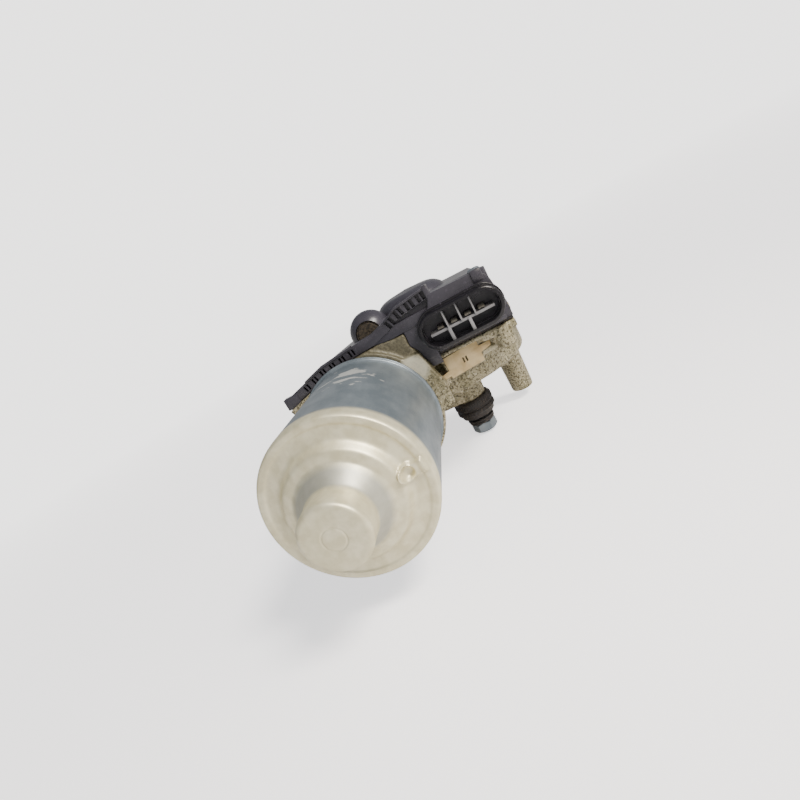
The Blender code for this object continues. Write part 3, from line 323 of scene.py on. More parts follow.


# Patches set by place on the casting: painted shade in the recess under the hem,
# painted light on the flange's lit face and a pale patch beside the earth clip.
# Columns: middle, radius where one starts to fade and ends, strength, colour.
CASTING_PATCHES = (((-19, -48, 78), 13, 17, 0.75, "#4F4B3E"),
                 ((-12, -51, 60.5), 5, 7.5, 0.80, "#D6D1BC"),
                 ((19, -40, 52), 5, 9, 0.45, "#C9C2A8"))


def casting_detail(tree, coords, tint, gloss, grains):
    """Pressure die-cast skin: a sandy mix of bright grains and dark pits with olive oil stains,
    plus painted shade in the recess under the hem and painted light on the flange's lit face.
    """
    specks = remap(tree, noise(tree, coords, 1, 1.5), 0.50, 0.59, 0, 0.74)
    tint = blend(tree, specks, tint, rgba("#332E1D"))
    sparkle = remap(tree, noise(tree, coords, 0.8, 1), 0.56, 0.66, 0, 0.6)
    tint = blend(tree, sparkle, tint, rgba("#D2CAAE"))
    stain = remap(tree, noise(tree, coords, 14, 2), 0.50, 0.66, 0, 0.6)
    tint = blend(tree, stain, tint, rgba("#57522F"))
    # painted shade and painted light, set by place as listed above
    for place, near, far, strength, shade in CASTING_PATCHES:
        tint_and_painted_light = remap(tree, distance(tree, coords, place), near * MM, far * MM, strength, 0)
        tint = blend(tree, tint_and_painted_light, tint, rgba(shade))
    return tint, gloss


def nylon_detail(tree, coords, tint, gloss, grains):
    """Moulded glass-filled nylon: fine spark-eroded grain, dusty bloom and shiny rubbed places;
    the polished collar in front of the block is glossy and darker."""
    streaks = noise(tree, stretched(tree, coords, (0.3, 1, 1)), 4, 3)
    gloss = maths(tree, "ADD", gloss, remap(tree, streaks, 0.56, 0.70, 0, -0.12))
    collar = remap(tree, depth_of(tree, coords), (BLOCK_Y0 - 1) * MM, (BLOCK_Y0 - 2) * MM)
    tint = blend(tree, collar, tint, rgba("#141216"))
    gloss = remap(tree, collar, 0, 1, gloss, 0.20)
    dust = remap(tree, noise(tree, coords, 1.1, 4), 0.60, 0.78, 0, 0.5)
    return blend(tree, dust, tint, rgba("#5C5663")), gloss


def rubber_detail(tree, coords, tint, gloss, grains):
    """Moulded rubber with cast dust rubbed into it, which gives it tan specks."""
    dust = remap(tree, noise(tree, coords, 0.5, 2), 0.60, 0.72, 0, 0.7)
    return blend(tree, dust, tint, rgba("#6B5A48")), gloss


def board_detail(tree, coords, tint, gloss, grains):
    """Solder-masked board: tracks show as slightly lighter straight bands."""
    bands = add_node(tree, "ShaderNodeTexWave", {"Vector": coords, "Scale": per_metre(9),
                                                 "Distortion": 2}).outputs[1]
    return blend(tree, remap(tree, bands, 0.6, 0.7, 0, 0.6), tint, rgba("#2F8A52")), gloss


def lamination_detail(tree, coords, tint, gloss, grains):
    """A stack of punched sheets, seen as fine bands along the motor's axis."""
    bands = add_node(tree, "ShaderNodeTexWave", {"Vector": coords, "Scale": per_metre(3)},
                     bands_direction="Y").outputs[1]
    return blend(tree, bands, tint, rgba("#45474B")), gloss


SPECIAL = {"zinc_plated_steel": zinc_detail, "die_cast_aluminium": casting_detail,
           "black_plastic": nylon_detail, "black_rubber": rubber_detail,
           "circuit_board": board_detail, "lamination_steel": lamination_detail}


# ---- outlines and sections ----
def arc(cx, cy, r, start, end, steps):
    """Points on an arc, angles in degrees."""
    return [(cx + r * cos(radians(start + (end - start) * k / steps)),
             cy + r * sin(radians(start + (end - start) * k / steps))) for k in range(steps + 1)]


def rounded(points, radius, steps=4):
    """A closed outline with its corners rounded; a third number is a corner's own radius."""
    made = []
    count = len(points)
    for k, point in enumerate(points):
        here = Vector(point[:2])
        size = point[2] if len(point) > 2 else radius
        before = Vector(points[k - 1][:2]) - here
        after = Vector(points[(k + 1) % count][:2]) - here
        if size <= 0 or before.length < 1e-6 or after.length < 1e-6:
            made.append(tuple(here))
            continue
        start = here + before.normalized() * min(size, before.length * 0.45)
        stop = here + after.normalized() * min(size, after.length * 0.45)
        for i in range(steps + 1):
            t = i / steps
            made.append(tuple(start * (1 - t) ** 2 + here * (2 * t * (1 - t)) + stop * t ** 2))
    return made


def finer(points, step):
    """The same line with no stretch longer than step; its last point is left out."""
    made = []
    for a, b in zip(points, points[1:]):
        pieces = max(1, round(hypot(b[0] - a[0], b[1] - a[1]) / step))
        made += [(a[0] + (b[0] - a[0]) * i / pieces, a[1] + (b[1] - a[1]) * i / pieces)
                 for i in range(pieces)]
    return made


# ---- mesh tools ----
def lathe(profile, seg=64, axis="z", at=(0, 0, 0)):
    """Turn a closed section of (radius, height) points about an axis; lengths in millimetres."""
    bm = bmesh.new()
    rings = []
    for r, h in profile:
        count = seg if r > 1e-5 else 1
        rings.append([bm.verts.new((r * cos(2 * pi * k / seg), r * sin(2 * pi * k / seg), h))
                      for k in range(count)])
    for a, b in zip(rings, rings[1:] + rings[:1]):
        for k in range(seg if len(a) + len(b) > 2 else 0):
            n = (k + 1) % seg
            loop = [a[k % len(a)], b[k % len(b)], b[n % len(b)], a[n % len(a)]]
            loop = [v for i, v in enumerate(loop) if v not in loop[:i]]
            bm.faces.new(loop)
    turn = {"x": Matrix.Rotation(pi / 2, 3, "Y"), "y": Matrix.Rotation(-pi / 2, 3, "X"),
            "z": Matrix.Identity(3)}[axis]
    bmesh.ops.rotate(bm, matrix=turn, verts=bm.verts)
    bmesh.ops.translate(bm, vec=at, verts=bm.verts)
    return bm


def disc(r, lo, hi, seg=48, axis="z", at=(0, 0, 0), edge=0):
    """A solid cylinder, its two rims rounded by edge."""
    section = rounded([(0, lo, 0), (r, lo, edge), (r, hi, edge), (0, hi, 0)], 0, 3)
    return lathe(section, seg, axis, at)


def prism(outline, lo, hi, plane="xy", edge=0, seg=2):
    """Extrude a closed outline, its sharp edges rounded by edge."""
    bm = bmesh.new()
    place = {"xy": lambda u, v, w: (u, v, w), "xz": lambda u, v, w: (u, w, v),
             "yz": lambda u, v, w: (w, u, v)}[plane]
    ends = [[bm.verts.new(place(u, v, level)) for u, v in outline] for level in (lo, hi)]
    for end in ends:
        bm.faces.new(end)
    for k in range(len(outline)):
        n = (k + 1) % len(outline)
        bm.faces.new((ends[0][k], ends[0][n], ends[1][n], ends[1][k]))
    return soften(bm, edge, seg)


def block(lo, hi, edge=0):
    outline = [(lo[0], lo[1]), (hi[0], lo[1]), (hi[0], hi[1]), (lo[0], hi[1])]
    return prism(outline, lo[2], hi[2], edge=edge)


def soften(bm, edge, seg=2):
    """Round the sharp edges of a shape."""
    bmesh.ops.recalc_face_normals(bm, faces=bm.faces)
    if edge > 0:
        sharp = [e for e in bm.edges
                 if len(e.link_faces) == 2 and e.calc_face_angle(0) > radians(28)]
        bmesh.ops.bevel(bm, geom=sharp, offset=edge, segments=seg, profile=0.5, affect="EDGES",
                        clamp_overlap=True)
    return bm


def shifted(bm, vec):
    bmesh.ops.translate(bm, vec=vec, verts=bm.verts)
    return bm


def turned(bm, degrees, axis="Z", centre=(0, 0, 0)):
    bmesh.ops.rotate(bm, matrix=Matrix.Rotation(radians(degrees), 3, axis), cent=centre,
                     verts=bm.verts)
    return bm


def to_object(name, bm, sharp=32):
    """A bmesh in millimetres becomes an object at the origin, in metres."""
    bmesh.ops.remove_doubles(bm, verts=bm.verts, dist=1e-4)
    bmesh.ops.recalc_face_normals(bm, faces=bm.faces)
    bmesh.ops.scale(bm, vec=(MM, MM, MM), verts=bm.verts)
    mesh = bpy.data.meshes.new(name)
    bm.to_mesh(mesh)
    bm.free()
    mesh.shade_smooth()
    mesh.set_sharp_from_angle(angle=radians(sharp))
    obj = bpy.data.objects.new(name, mesh)
    bpy.context.scene.collection.objects.link(obj)
    return obj


def settle(obj, sharp=32):
    """Turn an object with live modifiers into a plain mesh."""
    graph = bpy.context.evaluated_depsgraph_get()
    graph.update()
    mesh = bpy.data.meshes.new_from_object(obj.evaluated_get(graph))
    obj.modifiers.clear()
    old = obj.data
    obj.data = mesh
    bpy.data.meshes.remove(old)
    mesh.name = obj.name
    mesh.shade_smooth()
    mesh.set_sharp_from_angle(angle=radians(sharp))
    return obj


def merged(name, base, adds=(), cuts=(), keeps=(), sharp=32):
    """Join, intersect and cut closed shapes into one closed mesh."""
    obj = to_object(name, base)
    tools = []
    steps = [("UNION", bm) for bm in adds] + [("INTERSECT", bm) for bm in keeps]
    for operation, bm in steps + [("DIFFERENCE", bm) for bm in cuts]:
        tool = to_object(name + "_tool", bm)
        tools.append(tool)
        cut = obj.modifiers.new(operation, "BOOLEAN")
        cut.operation, cut.solver, cut.object = operation, "EXACT", tool
    settle(obj, sharp)
    for tool in tools:
        bpy.data.objects.remove(tool, do_unlink=True)
    return obj


def as_shape(obj):
    """Take an object's mesh back as a bmesh in millimetres, and delete the object."""
    bm = bmesh.new()
    bm.from_mesh(obj.data)
    bmesh.ops.scale(bm, vec=(1 / MM,) * 3, verts=bm.verts)
    bpy.data.objects.remove(obj, do_unlink=True)
    return bm


def piece(obj, finish, body="motor_body", replaces=()):
    """Give a finished object its material, its body and the CAD nodes that it stands for."""
    obj.data.materials.clear()
    obj.data.materials.append(finish_of(finish))
    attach(obj, body)
    if replaces:
        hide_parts(*replaces)
    return obj


# ---- geometry nodes ----
def new_tree(name, inputs):
    """A geometry node tree with its named inputs and one geometry output."""
    tree = bpy.data.node_groups.new(name, "GeometryNodeTree")
    tree.interface.new_socket("Geometry", in_out="INPUT", socket_type="NodeSocketGeometry")
    for label, kind in inputs:
        tree.interface.new_socket(label, in_out="INPUT", socket_type=kind)
    tree.interface.new_socket("Geometry", in_out="OUTPUT", socket_type="NodeSocketGeometry")
    return tree, tree.nodes.new("NodeGroupInput").outputs, tree.nodes.new("NodeGroupOutput")


def end_tree(tree, copies, material, result):
    """Make the copies real, give them their material and pass them out."""
    real = add_node(tree, "GeometryNodeRealizeInstances", {0: copies})
    done = add_node(tree, "GeometryNodeSetMaterial", {0: real.outputs[0], "Material": material})
    tree.links.new(done.outputs[0], result.inputs[0])
    return tree


def blocks_along_path():
    """Tree: equal blocks set along a line, each turned to follow it."""
    tree, given, result = new_tree("blocks_along_path", (
        ("Count", "NodeSocketInt"), ("Size", "NodeSocketVector"),
        ("Material", "NodeSocketMaterial")))
    curve = add_node(tree, "GeometryNodeMeshToCurve", {0: given["Geometry"]}).outputs[0]
    even = add_node(tree, "GeometryNodeResampleCurve", {"Curve": curve, "Count": given["Count"]})
    tangent = add_node(tree, "GeometryNodeInputTangent").outputs[0]
    turn = add_node(tree, "FunctionNodeAlignRotationToVector", {"Vector": tangent}, axis="X")
    cube = add_node(tree, "GeometryNodeMeshCube", {"Size": given["Size"]}).outputs[0]
    copies = add_node(tree, "GeometryNodeInstanceOnPoints",
                      {"Points": even.outputs[0], "Instance": cube, "Rotation": turn.outputs[0]})
    return end_tree(tree, copies.outputs[0], given["Material"], result)


def copies_at_points():
    """Tree: one object copied to each vertex of the mesh."""
    tree, given, result = new_tree("copies_at_points", (
        ("Original", "NodeSocketObject"), ("Material", "NodeSocketMaterial")))
    source = add_node(tree, "GeometryNodeObjectInfo", {"Object": given["Original"]})
    copies = add_node(tree, "GeometryNodeInstanceOnPoints",
                      {"Points": given["Geometry"], "Instance": source.outputs["Geometry"]})
    return end_tree(tree, copies.outputs[0], given["Material"], result)


def grown(name, points, edges, tree, values, sharp=32):
    """Run a tree on a small mesh of points and edges, and keep the result as a plain mesh."""
    mesh = bpy.data.meshes.new(name)
    mesh.from_pydata([[v * MM for v in p] for p in points], edges, [])
    obj = bpy.data.objects.new(name, mesh)
    bpy.context.scene.collection.objects.link(obj)
    grow = obj.modifiers.new(tree.name, "NODES")
    grow.node_group = tree
    for item in tree.interface.items_tree:
        if item.in_out == "INPUT" and item.name in values:
            grow[item.identifier] = values[item.name]
    return settle(obj, sharp)


class Step:
    """What every operator here does: build its pieces, then say that it has finished."""

    def execute(self, context):
        self.build(context)
        return {"FINISHED"}


# ---- motor can ----
def can_section(can):
    """Section of the drawn can as (radius, distance from the rim plane), outside then inside."""
    body_r = CAN_RIM_R - 1.25
    boss_r = can.boss_radius / MM
    bead = can.bead / MM
    wall = 1.5
    end, tip = CAN_LEN, RIM_Y - CAN_LO.y
    shoulder = can.shoulder / MM
    outer = [(CAN_RIM_R, 0, 0.3), (CAN_RIM_R, 1.4, 0.6), (body_r + 0.5, 1.5, 0.3),
             (body_r, 2.4, 0.4), (body_r, end, shoulder), (27.9, end, 0.8),
             (26.9, end - bead, 1.2), (22.4, end + 0.3, 1.2), (20.3, end + 3.5, 0.9),
             (18.6, end + 3.9, 0.9), (16.7, end + 4.2, 0.8), (13.1, end + 8.6, 2.2),
             (boss_r, end + 10.6, 1.5), (boss_r, tip, 2), (4.3, tip, 0.2),
             (4, tip - 0.18, 0.15), (3.7, tip - 0.18, 0.15), (3.4, tip, 0.2), (0, tip, 0)]
    inner = [(0, tip - wall, 0), (boss_r - wall, tip - wall, 1), (boss_r - wall, end + 9, 2),
             (15.2, end + 2.6, 1), (18.7, end + 2.2, 1), (18.7, end - wall - 0.3, 1),
             (26, end - wall - 0.7, 1), (body_r - wall, end - wall, shoulder - wall),
             (body_r - wall, 0, 0.2)]
    return rounded(outer + inner, 0.4, 5)


LUG_END_R, LUG_CUP_R = 3.1, 2           # round end and its cup
LUG_REACH, LUG_HALF = 5.8, 2.4          # length and half width of the tongue


def lug_height(across, up):
    """Relief of the keyhole lug: a cupped round end and a tongue towards the can's shoulder."""
    def inside(value, limit, softness=0.12):
        return 1 / (1 + exp(min(40, (value - limit) / softness)))

    away = hypot(across, up)
    tongue = inside(-across, 0) * inside(across, LUG_REACH) * inside(abs(up), LUG_HALF)
    return max(inside(away, LUG_END_R), tongue) - 1.2 * inside(away, LUG_CUP_R, 0.18)


class WIPER_OT_motor_can(Step, bpy.types.Operator):
    """Build the deep-drawn motor can with its pressed end"""
    bl_idname = "wiper.motor_can"
    bl_label = "Motor can"

    def build(self, context):
        can = settings().can
        section = can_section(can)
        pressed = [k for k, (r, h) in enumerate(section) if 19 < r < 30.5 and h > CAN_LEN - 1.2]
        first, last = pressed[0], pressed[-1]
        bm = lathe(section[:first] + finer(section[first:last + 1], 0.3) + section[last:],
                   can.facets)
        bmesh.ops.rotate(bm, matrix=Matrix.Rotation(pi / 2, 3, "X"), verts=bm.verts)
        out = Vector((cos(radians(LUG_ANGLE)), sin(radians(LUG_ANGLE))))
        for v in bm.verts:
            flat = Vector((v.co.x, v.co.z))
            across, up = flat.dot(out) - LUG_R, flat.dot(Vector((-out.y, out.x)))
            if abs(across) < 8 and abs(up) < 6 and -CAN_LEN - 4.4 < v.co.y < -CAN_LEN + 2.6:
                v.co.y -= can.lug / MM * lug_height(across, up)
        shifted(bm, (MOTOR_X, RIM_Y, MOTOR_Z))
        piece(to_object("drawn_motor_can", bm, 40), "zinc_plated_steel", replaces=["motor_can"])


# ---- casting ----
BOWL_R = 37.85                          # outside radius of the gear bowl
FLOOR_Z0 = 38.2
BOSS_R = 8.7
BOSS_END_Z = 21
POST_R, POST_TAPER, POST_END_Z = 6.3, 1.4, 4.5
POSTS = ((28.3, 26), (-30, 42), (-62, -24))
FLANGE_T = 5.7
RECESS_Z, RECESS_T = 66.3, 3            # where the flange's face steps back, and how far
HEM_Y0, HEM_T, HEM_RUN = -47, 4.8, 4.5
# Corners of the hem's upper edge as (x, height).
HEM_KNOTS = ((-74, 73.5), (-62, 76.7), (-50, 80), (-31, 82), (-23, 82.4),
             (-14, 85.2), (-8, 88), (8, 89.8))
COVER_LEFT, COVER_RIGHT = -74, 36
COVER_SLOPE = 0.05                      # the roof's fall towards the back
SKIRT = ((-7, 66.6), (-9.3, 69.9), (-9, 77), (0.6, 77), (0.6, 56.8), (-4.3, 56.8))
CLIP_X, CLIP_Y, CLIP_TURN = 6.8, -38, 16
COVER_SCREWS = ((29, -41.5, 86.5), (29.5, 27.5, 68), (-14, 41, 68),
                (-62, 29, 68), (-68.5, -37.5, 73))


def hem_top(x):
    """Height of the cover's front edge, which climbs from the motor's side to the socket."""
    for (x0, z0), (x1, z1) in zip(HEM_KNOTS, HEM_KNOTS[1:]):
        if x <= x1 or x1 == HEM_KNOTS[-1][0]:
            return z0 + (z1 - z0) * (x - x0) / (x1 - x0)


def plan_outline(inset=0):
    """Outline of deck and cover from above."""
    left, right = COVER_LEFT + inset, COVER_RIGHT - inset
    front, back = RIM_Y + FLANGE_T + GAP + inset, 46 - inset
    r, corner = BOWL_R + 1.4 - inset, 6 - inset
    outline = [(left, front), (right, front), (right, r * sin(radians(-30)))]
    outline += arc(0, 0, r, -22, 28, 16) + arc(29.5, 27.5, 5.6 - inset, -5, 95, 12)
    outline += arc(0, 0, r, 62, 78, 6) + [(0, back - 3), (-12, back), (-60, back - 8)]
    return outline + arc(left + corner, 24 - inset, corner, 90, 180, 8)


def at_clip(bm):
    """Move a shape drawn round the earth clip's turning point to its slanted place."""
    centre = (CLIP_X, CLIP_Y, 0)
    return turned(shifted(bm, centre), CLIP_TURN, "Z", centre)


def flange_outline():
    """Front plate of the casting behind the can: a disc with a bridge and a side lug."""
    outline = arc(MOTOR_X, MOTOR_Z, CAN_RIM_R + 1.2, 150, 345, 60)
    outline += [(-3, 38), (-2.6, 49.6), (-4.7, 56.4), (-7.4, 66.3), (-9.7, 69.8), (-9.4, 76.2),
                (-15, 76.2)]
    xs = (-23, -31, -50, -62, -73)
    return outline + [(x, hem_top(x) - HEM_T - GAP) for x in xs]


def recess_outline():
    """Part of the flange's face, above and outside the can, that steps back."""
    points = arc(MOTOR_X, MOTOR_Z, CAN_RIM_R + 1.4, 37.5, 120, 40)
    return [(-4, RECESS_Z)] + points + [(points[-1][0], 95), (-4, 95)]


def post(x, y, lo, hi):
    section = rounded([(0, lo, 0), (POST_R, lo, 0.9), (POST_R + POST_TAPER, hi, 0), (0, hi, 0)], 0)
    return lathe(section, 48, at=(x, y, 0))


class WIPER_OT_casting(Step, bpy.types.Operator):
    """Build the die-cast gear housing with its output boss, posts and webs"""
    bl_idname = "wiper.casting"
    bl_label = "Gear housing"

    def build(self, context):
        cast = settings().casting
        axis = {"axis": "y", "at": (MOTOR_X, 0, MOTOR_Z)}
        adds = [disc(BOWL_R, FLOOR_Z0, DECK_Z - 1, 128, edge=1.6),
                disc(12.15, RIM_Y + 2, 37, 48, edge=1, **axis),
                disc(14, RIM_Y + 2.5, RIM_Y + 13.5, 48, edge=1, **axis),
                prism(flange_outline(), RIM_Y + GAP, RIM_Y + FLANGE_T, "xz"),
                disc(27.7, RIM_Y - 2, RIM_Y + 1, 96, **axis),
                lathe([(0, BOSS_END_Z), (BOSS_R - 0.5, BOSS_END_Z), (BOSS_R, BOSS_END_Z + 0.6),
                       (BOSS_R + 0.8, FLOOR_Z0 - 2), (BOSS_R + 3.5, FLOOR_Z0 + 1),
                       (0, FLOOR_Z0 + 1)], 64)]
        adds += [block(lo, hi) for lo, hi in (
            ((-15.5, -8.5, BOSS_END_Z + 1.5), (-2, -3, FLOOR_Z0 + 1)),
            ((-0.45, -BOSS_R - 0.7, BOSS_END_Z + 1), (0.45, 0, FLOOR_Z0 + 1)),
            ((MOTOR_X, -24, FLOOR_Z0 + 3), (0, 24, DECK_Z - 2)),
            ((MOTOR_X - 8, RIM_Y + 2, MOTOR_Z - 2), (MOTOR_X + 8, 35, DECK_Z - 2)),
            ((-66, RIM_Y + 2, DECK_Z - 12), (-10, RIM_Y + 9, DECK_Z - 1)),
            ((-62, 20, DECK_Z - 10), (-24, 38, DECK_Z - 1)),
            ((-64, -30, DECK_Z - 14), (MOTOR_X, -18, DECK_Z - 1)))]
        adds += [at_clip(block(lo, hi)) for lo, hi in (     # the earth clip's seat and ears
            ((-8.5, -2.2, 46.5), (10, 8, 56.5)), ((-14, -3.6, 45.6), (-8.3, 4, 48.4)),
            ((9.9, -3.4, 49.3), (17.5, 6, 52)), ((9.9, -2.4, 54.6), (15, 6, 57.2)))]
        for angle in (0, 45, 270, 315):     # stiffening ribs under the bowl
            rib = block((BOSS_R, -0.9, FLOOR_Z0 - 2.2), (BOWL_R - 2, 0.9, FLOOR_Z0 + 0.5))
            adds.append(turned(rib, angle))
        for x, y in POSTS:
            adds.append(post(x, y, POST_END_Z, DECK_Z - 1))
        for x, y, _ in COVER_SCREWS:
            adds.append(disc(4.4, DECK_Z - 10, DECK_Z, 32, at=(x, y, 0), edge=0.5))
        cuts = [disc(36.15, 41.2, DECK_Z + 5, 96),
                disc(8.15, RIM_Y + 2.5, 23, 40, **axis), disc(4.25, 22, 32, 32, **axis),
                disc(3.3, 31, 43, 32, **axis),
                disc(11.3, RIM_Y + 3.2, RIM_Y + 10.8, 48, **axis),
                disc(12.3, RIM_Y - 3, RIM_Y + 4, 48, **axis),
                disc(6.95, BOSS_END_Z - 1, FLOOR_Z0 + 5, 40),
                at_clip(block((-9, -12, 55), (11, -2.2, 58))),
                prism(recess_outline(), RIM_Y - 5, RIM_Y + GAP + RECESS_T, "xz")]
        for x, y in POSTS:
            cuts.append(disc(2.5, POST_END_Z - 1, POST_END_Z + 16, 32, at=(x, y, 0)))
        for x, y, _ in COVER_SCREWS:
            cuts.append(disc(1.8, DECK_Z - 9, DECK_Z + 1, 20, at=(x, y, 0)))
        casting = merged("cast_gear_housing", prism(plan_outline(), DECK_Z - 4, DECK_Z),
                         adds, cuts)
        grid = casting.modifiers.new("Fillets", "REMESH")
        grid.mode, grid.voxel_size = "VOXEL", cast.voxel
        ease = casting.modifiers.new("Ease", "SMOOTH")
        ease.factor, ease.iterations = 0.5, cast.fillet
        thin = casting.modifiers.new("Thin", "DECIMATE")
        thin.ratio = 0.42
        settle(casting, 60)
        piece(casting, "die_cast_aluminium", replaces=["gear_housing"])


# ---- cover and socket ----
COLLAR_Y0 = -56
COLLAR_X, COLLAR_Z, COLLAR_HALF = 16, 72, 10.5
BLOCK_Y0 = -48
DOME_R = 10.5
HUB_AT, HUB_R, HUB_TOP = (-4, -6), 19, 89.8


def oval(r, steps=16):
    points = arc(COLLAR_X + COLLAR_HALF, COLLAR_Z, r, -90, 90, steps)
    return points + arc(COLLAR_X - COLLAR_HALF, COLLAR_Z, r, 90, 270, steps)


def roof_profile(drop=0, inset=0):
    """Section of the cover across the motor, with the roof lowered by drop."""
    points = [(-90, hem_top(-74) - 4 - drop)]
    points += [(x, z - drop) for x, z in HEM_KNOTS[1:6]]
    points += [(-8, 86.6 - drop), (29, 86 - drop)]
    points += [(33 - inset, 83 - drop), (COVER_RIGHT - inset, 66)]
    return points + [(COVER_RIGHT - inset, 40), (-90, 40)]


def sheared(bm):
    """Let the roof fall towards the back."""
    for v in bm.verts:
        if v.co.z > DECK_Z:
            v.co.z -= COVER_SLOPE * (v.co.y - HEM_Y0)
    return bm


def hem_strip(lo, hi, top_drop, bottom_drop):
    """Band along the hem between two drops below its upper edge."""
    xs = [lo] + [x for x, _ in HEM_KNOTS if lo < x < hi] + [hi]
    return ([(x, hem_top(x) - top_drop) for x in xs]
            + [(x, hem_top(x) - bottom_drop) for x in reversed(xs)])


# Rows of pockets in the hem: first and last middle (x, drop below the edge), count, width, height.
POCKET_ROWS = (((-60.5, 2.5), (-34, 2.4), 6, 2.9, 2.9), ((-12.3, 2.9), (4.4, 2.5), 4, 4.1, 3.7))


def in_hem(name, row, y, width, depth, height):
    """Blocks set along one row of the hem's pockets."""
    (x0, drop0), (x1, drop1), count = row[:3]
    xs = [x0] + [x for x, _ in HEM_KNOTS if x0 < x < x1] + [x1]
    line = [(x, y, hem_top(x) - drop0 + (drop0 - drop1) * (x - x0) / (x1 - x0)) for x in xs]
    return grown(name, line, [(k, k + 1) for k in range(len(line) - 1)], blocks_along_path(),
                 {"Count": count, "Size": (width * MM, depth * MM, height * MM),
                  "Material": finish_of("black_plastic")})


class WIPER_OT_cover(Step, bpy.types.Operator):
    """Build the moulded cover with its hem, domes, connector block and socket"""
    bl_idname = "wiper.cover"
    bl_label = "Gear cover"

    def build(self, context):
        cover, plug = settings().cover, settings().socket
        wall, edge, collar = cover.wall / MM, cover.edge / MM, plug.collar / MM
        shell = merged("cover_shell", prism(plan_outline(), COVER_Z0, 100),
                       keeps=[sheared(prism(roof_profile(), -60, 60, "xz"))])
        outer = as_shape(shell)
        bmesh.ops.dissolve_limit(outer, angle_limit=radians(1), verts=outer.verts,
                                 edges=outer.edges)
        soften(outer, edge, 3)
        inner = merged("cover_hollow", prism(plan_outline(wall), COVER_Z0 - 2, 100),
                       keeps=[sheared(prism(roof_profile(wall + 0.6, wall), -60, 60, "xz"))],
                       cuts=[disc(VENT_R + GAP + 1.3, VENT_AT[1] - 5.3, VENT_AT[1] + 4, 48, "y",
                                  (VENT_AT[0], 0, VENT_AT[2]))])
        floor_y = COLLAR_Y0 + plug.depth / MM
        block_front = rounded([(0.5, 63, 0.6), (0.5, 77, 0.8), (5.2, 81.6, 0.5),
                               (7.6, 86.5, 1), (28.5, 85.6, 2.5), (33, 82.6, 2.5),
                               (35.6, 66, 1.5), (35, 63, 1)], 1)
        dome = rounded([(0, -4, 0), (DOME_R, -4, 0.2), (DOME_R, 0, 0)]
                       + [(DOME_R * cos(radians(a)), DOME_R * sin(radians(a)), 0)
                          for a in range(8, 90, 8)] + [(0, DOME_R, 0)], 0)
        hub = rounded([(0, 80.5, 0), (HUB_R, 80.5, 0), (HUB_R, HUB_TOP - 4.6, 3),
                       (HUB_R - 5, HUB_TOP - 0.6, 4), (0, HUB_TOP + 0.6, 0)], 0, 8)
        hem = hem_strip(-73.7, 8, 0, HEM_T)
        lip = hem_strip(-60, -33, -0.6, 0.5)
        crest = hem_strip(-14.5, 7, -0.2, 0.7)
        plate = [(-23, 77.3), (-23, 80), (-13.6, 81.5), (5.9, 81.7), (0.5, 77),
                 (-14.6, 76.4)]
        apron = list(SKIRT[:4]) + [(0.6, 62), (-5.7, 62)]
        back = RIM_Y + FLANGE_T
        adds = [prism(block_front, BLOCK_Y0, BLOCK_Y0 + 9, "xz", edge=0.5),
                prism(SKIRT, HEM_Y0 + 1, back - 0.1, "xz", edge=0.3),
                prism(apron, HEM_Y0 + 1, back + 1.6, "xz"),
                prism(plate, HEM_Y0 + 0.6, back + 1.4, "xz", edge=0.25),
                prism(oval(collar), COLLAR_Y0, BLOCK_Y0 + 5.4, "xz", edge=0.6, seg=3),
                prism(oval(collar + 0.9), BLOCK_Y0 - 2, BLOCK_Y0 + 0.5, "xz", edge=0.4),
                prism(hem, HEM_Y0, HEM_Y0 + HEM_RUN, "xz", edge=0.3),
                prism(lip, HEM_Y0 - 0.6, HEM_Y0 + 2, "xz", edge=0.2),
                prism(crest, HEM_Y0 - 0.6, HEM_Y0 + 1, "xz", edge=0.2),
                block((-73.9, HEM_Y0 - 0.8, 69), (-66.5, HEM_Y0 + 3.2, 74.6), 0.4),
                block((6.4, HEM_Y0 - 0.9, 84.6), (8.8, HEM_Y0 + 3, 90.6), 0.4),
                block((1.5, BLOCK_Y0 - 0.6, 62), (33, BLOCK_Y0 + 3, 64), 0.4),
                block((26.6, BLOCK_Y0 - 0.8, 81.2), (31.4, BLOCK_Y0 + 4, 86.4), 0.7),
                lathe(dome, 64, at=(VENT_AT[0], -22, VENT_AT[2])),
                lathe(hub, 96, at=(*HUB_AT, 0))]
        cuts = [as_shape(inner),
                prism(oval(collar - plug.lip / MM), COLLAR_Y0 - 1, floor_y, "xz"),
                disc(VENT_R + GAP, VENT_AT[1] - 4, VENT_AT[1] + 2.7, 48, "y",
                     (VENT_AT[0], 0, VENT_AT[2])),
                disc(DOME_R - 2.7, COVER_Z0 - 1, VENT_AT[2] - 2, 32, at=(VENT_AT[0], -22, 0))]
        for x, y, z in COVER_SCREWS:
            adds.append(disc(4.6, COVER_Z0, z - 1.1, 32, at=(x, y, 0), edge=0.3))
            cuts.append(disc(1.8, 50, 100, 20, at=(x, y, 0)))
            cuts.append(disc(3.3, z - 2.2, 100, 24, at=(x, y, 0)))
        for k in range(4):
            x = COLLAR_X + (k - 1.5) * plug.pitch / MM
            cuts.append(block((x - 1.7, floor_y - 1, COLLAR_Z - 0.7),
                              (x + 1.7, BLOCK_Y0 + 12, COLLAR_Z + 0.7)))
        for row in POCKET_ROWS:
            cuts.append(as_shape(in_hem("hem_pockets", row, HEM_Y0 + 0.2, row[3], 4.4, row[4])))
        piece(merged("moulded_cover", outer, adds, cuts), "black_plastic", replaces=["gear_cover"])


class WIPER_OT_hem_ribs(Step, bpy.types.Operator):
    """Build the thin ribs that stand in the hem's pockets"""
    bl_idname = "wiper.hem_ribs"
    bl_label = "Hem ribs"

    def build(self, context):
        for number, row in enumerate(POCKET_ROWS, 1):
            ribs = in_hem(f"hem_ribs_{number}", row, HEM_Y0 + 1, 0.75, 1.9, row[4] + 0.3)
            piece(ribs, "black_plastic")


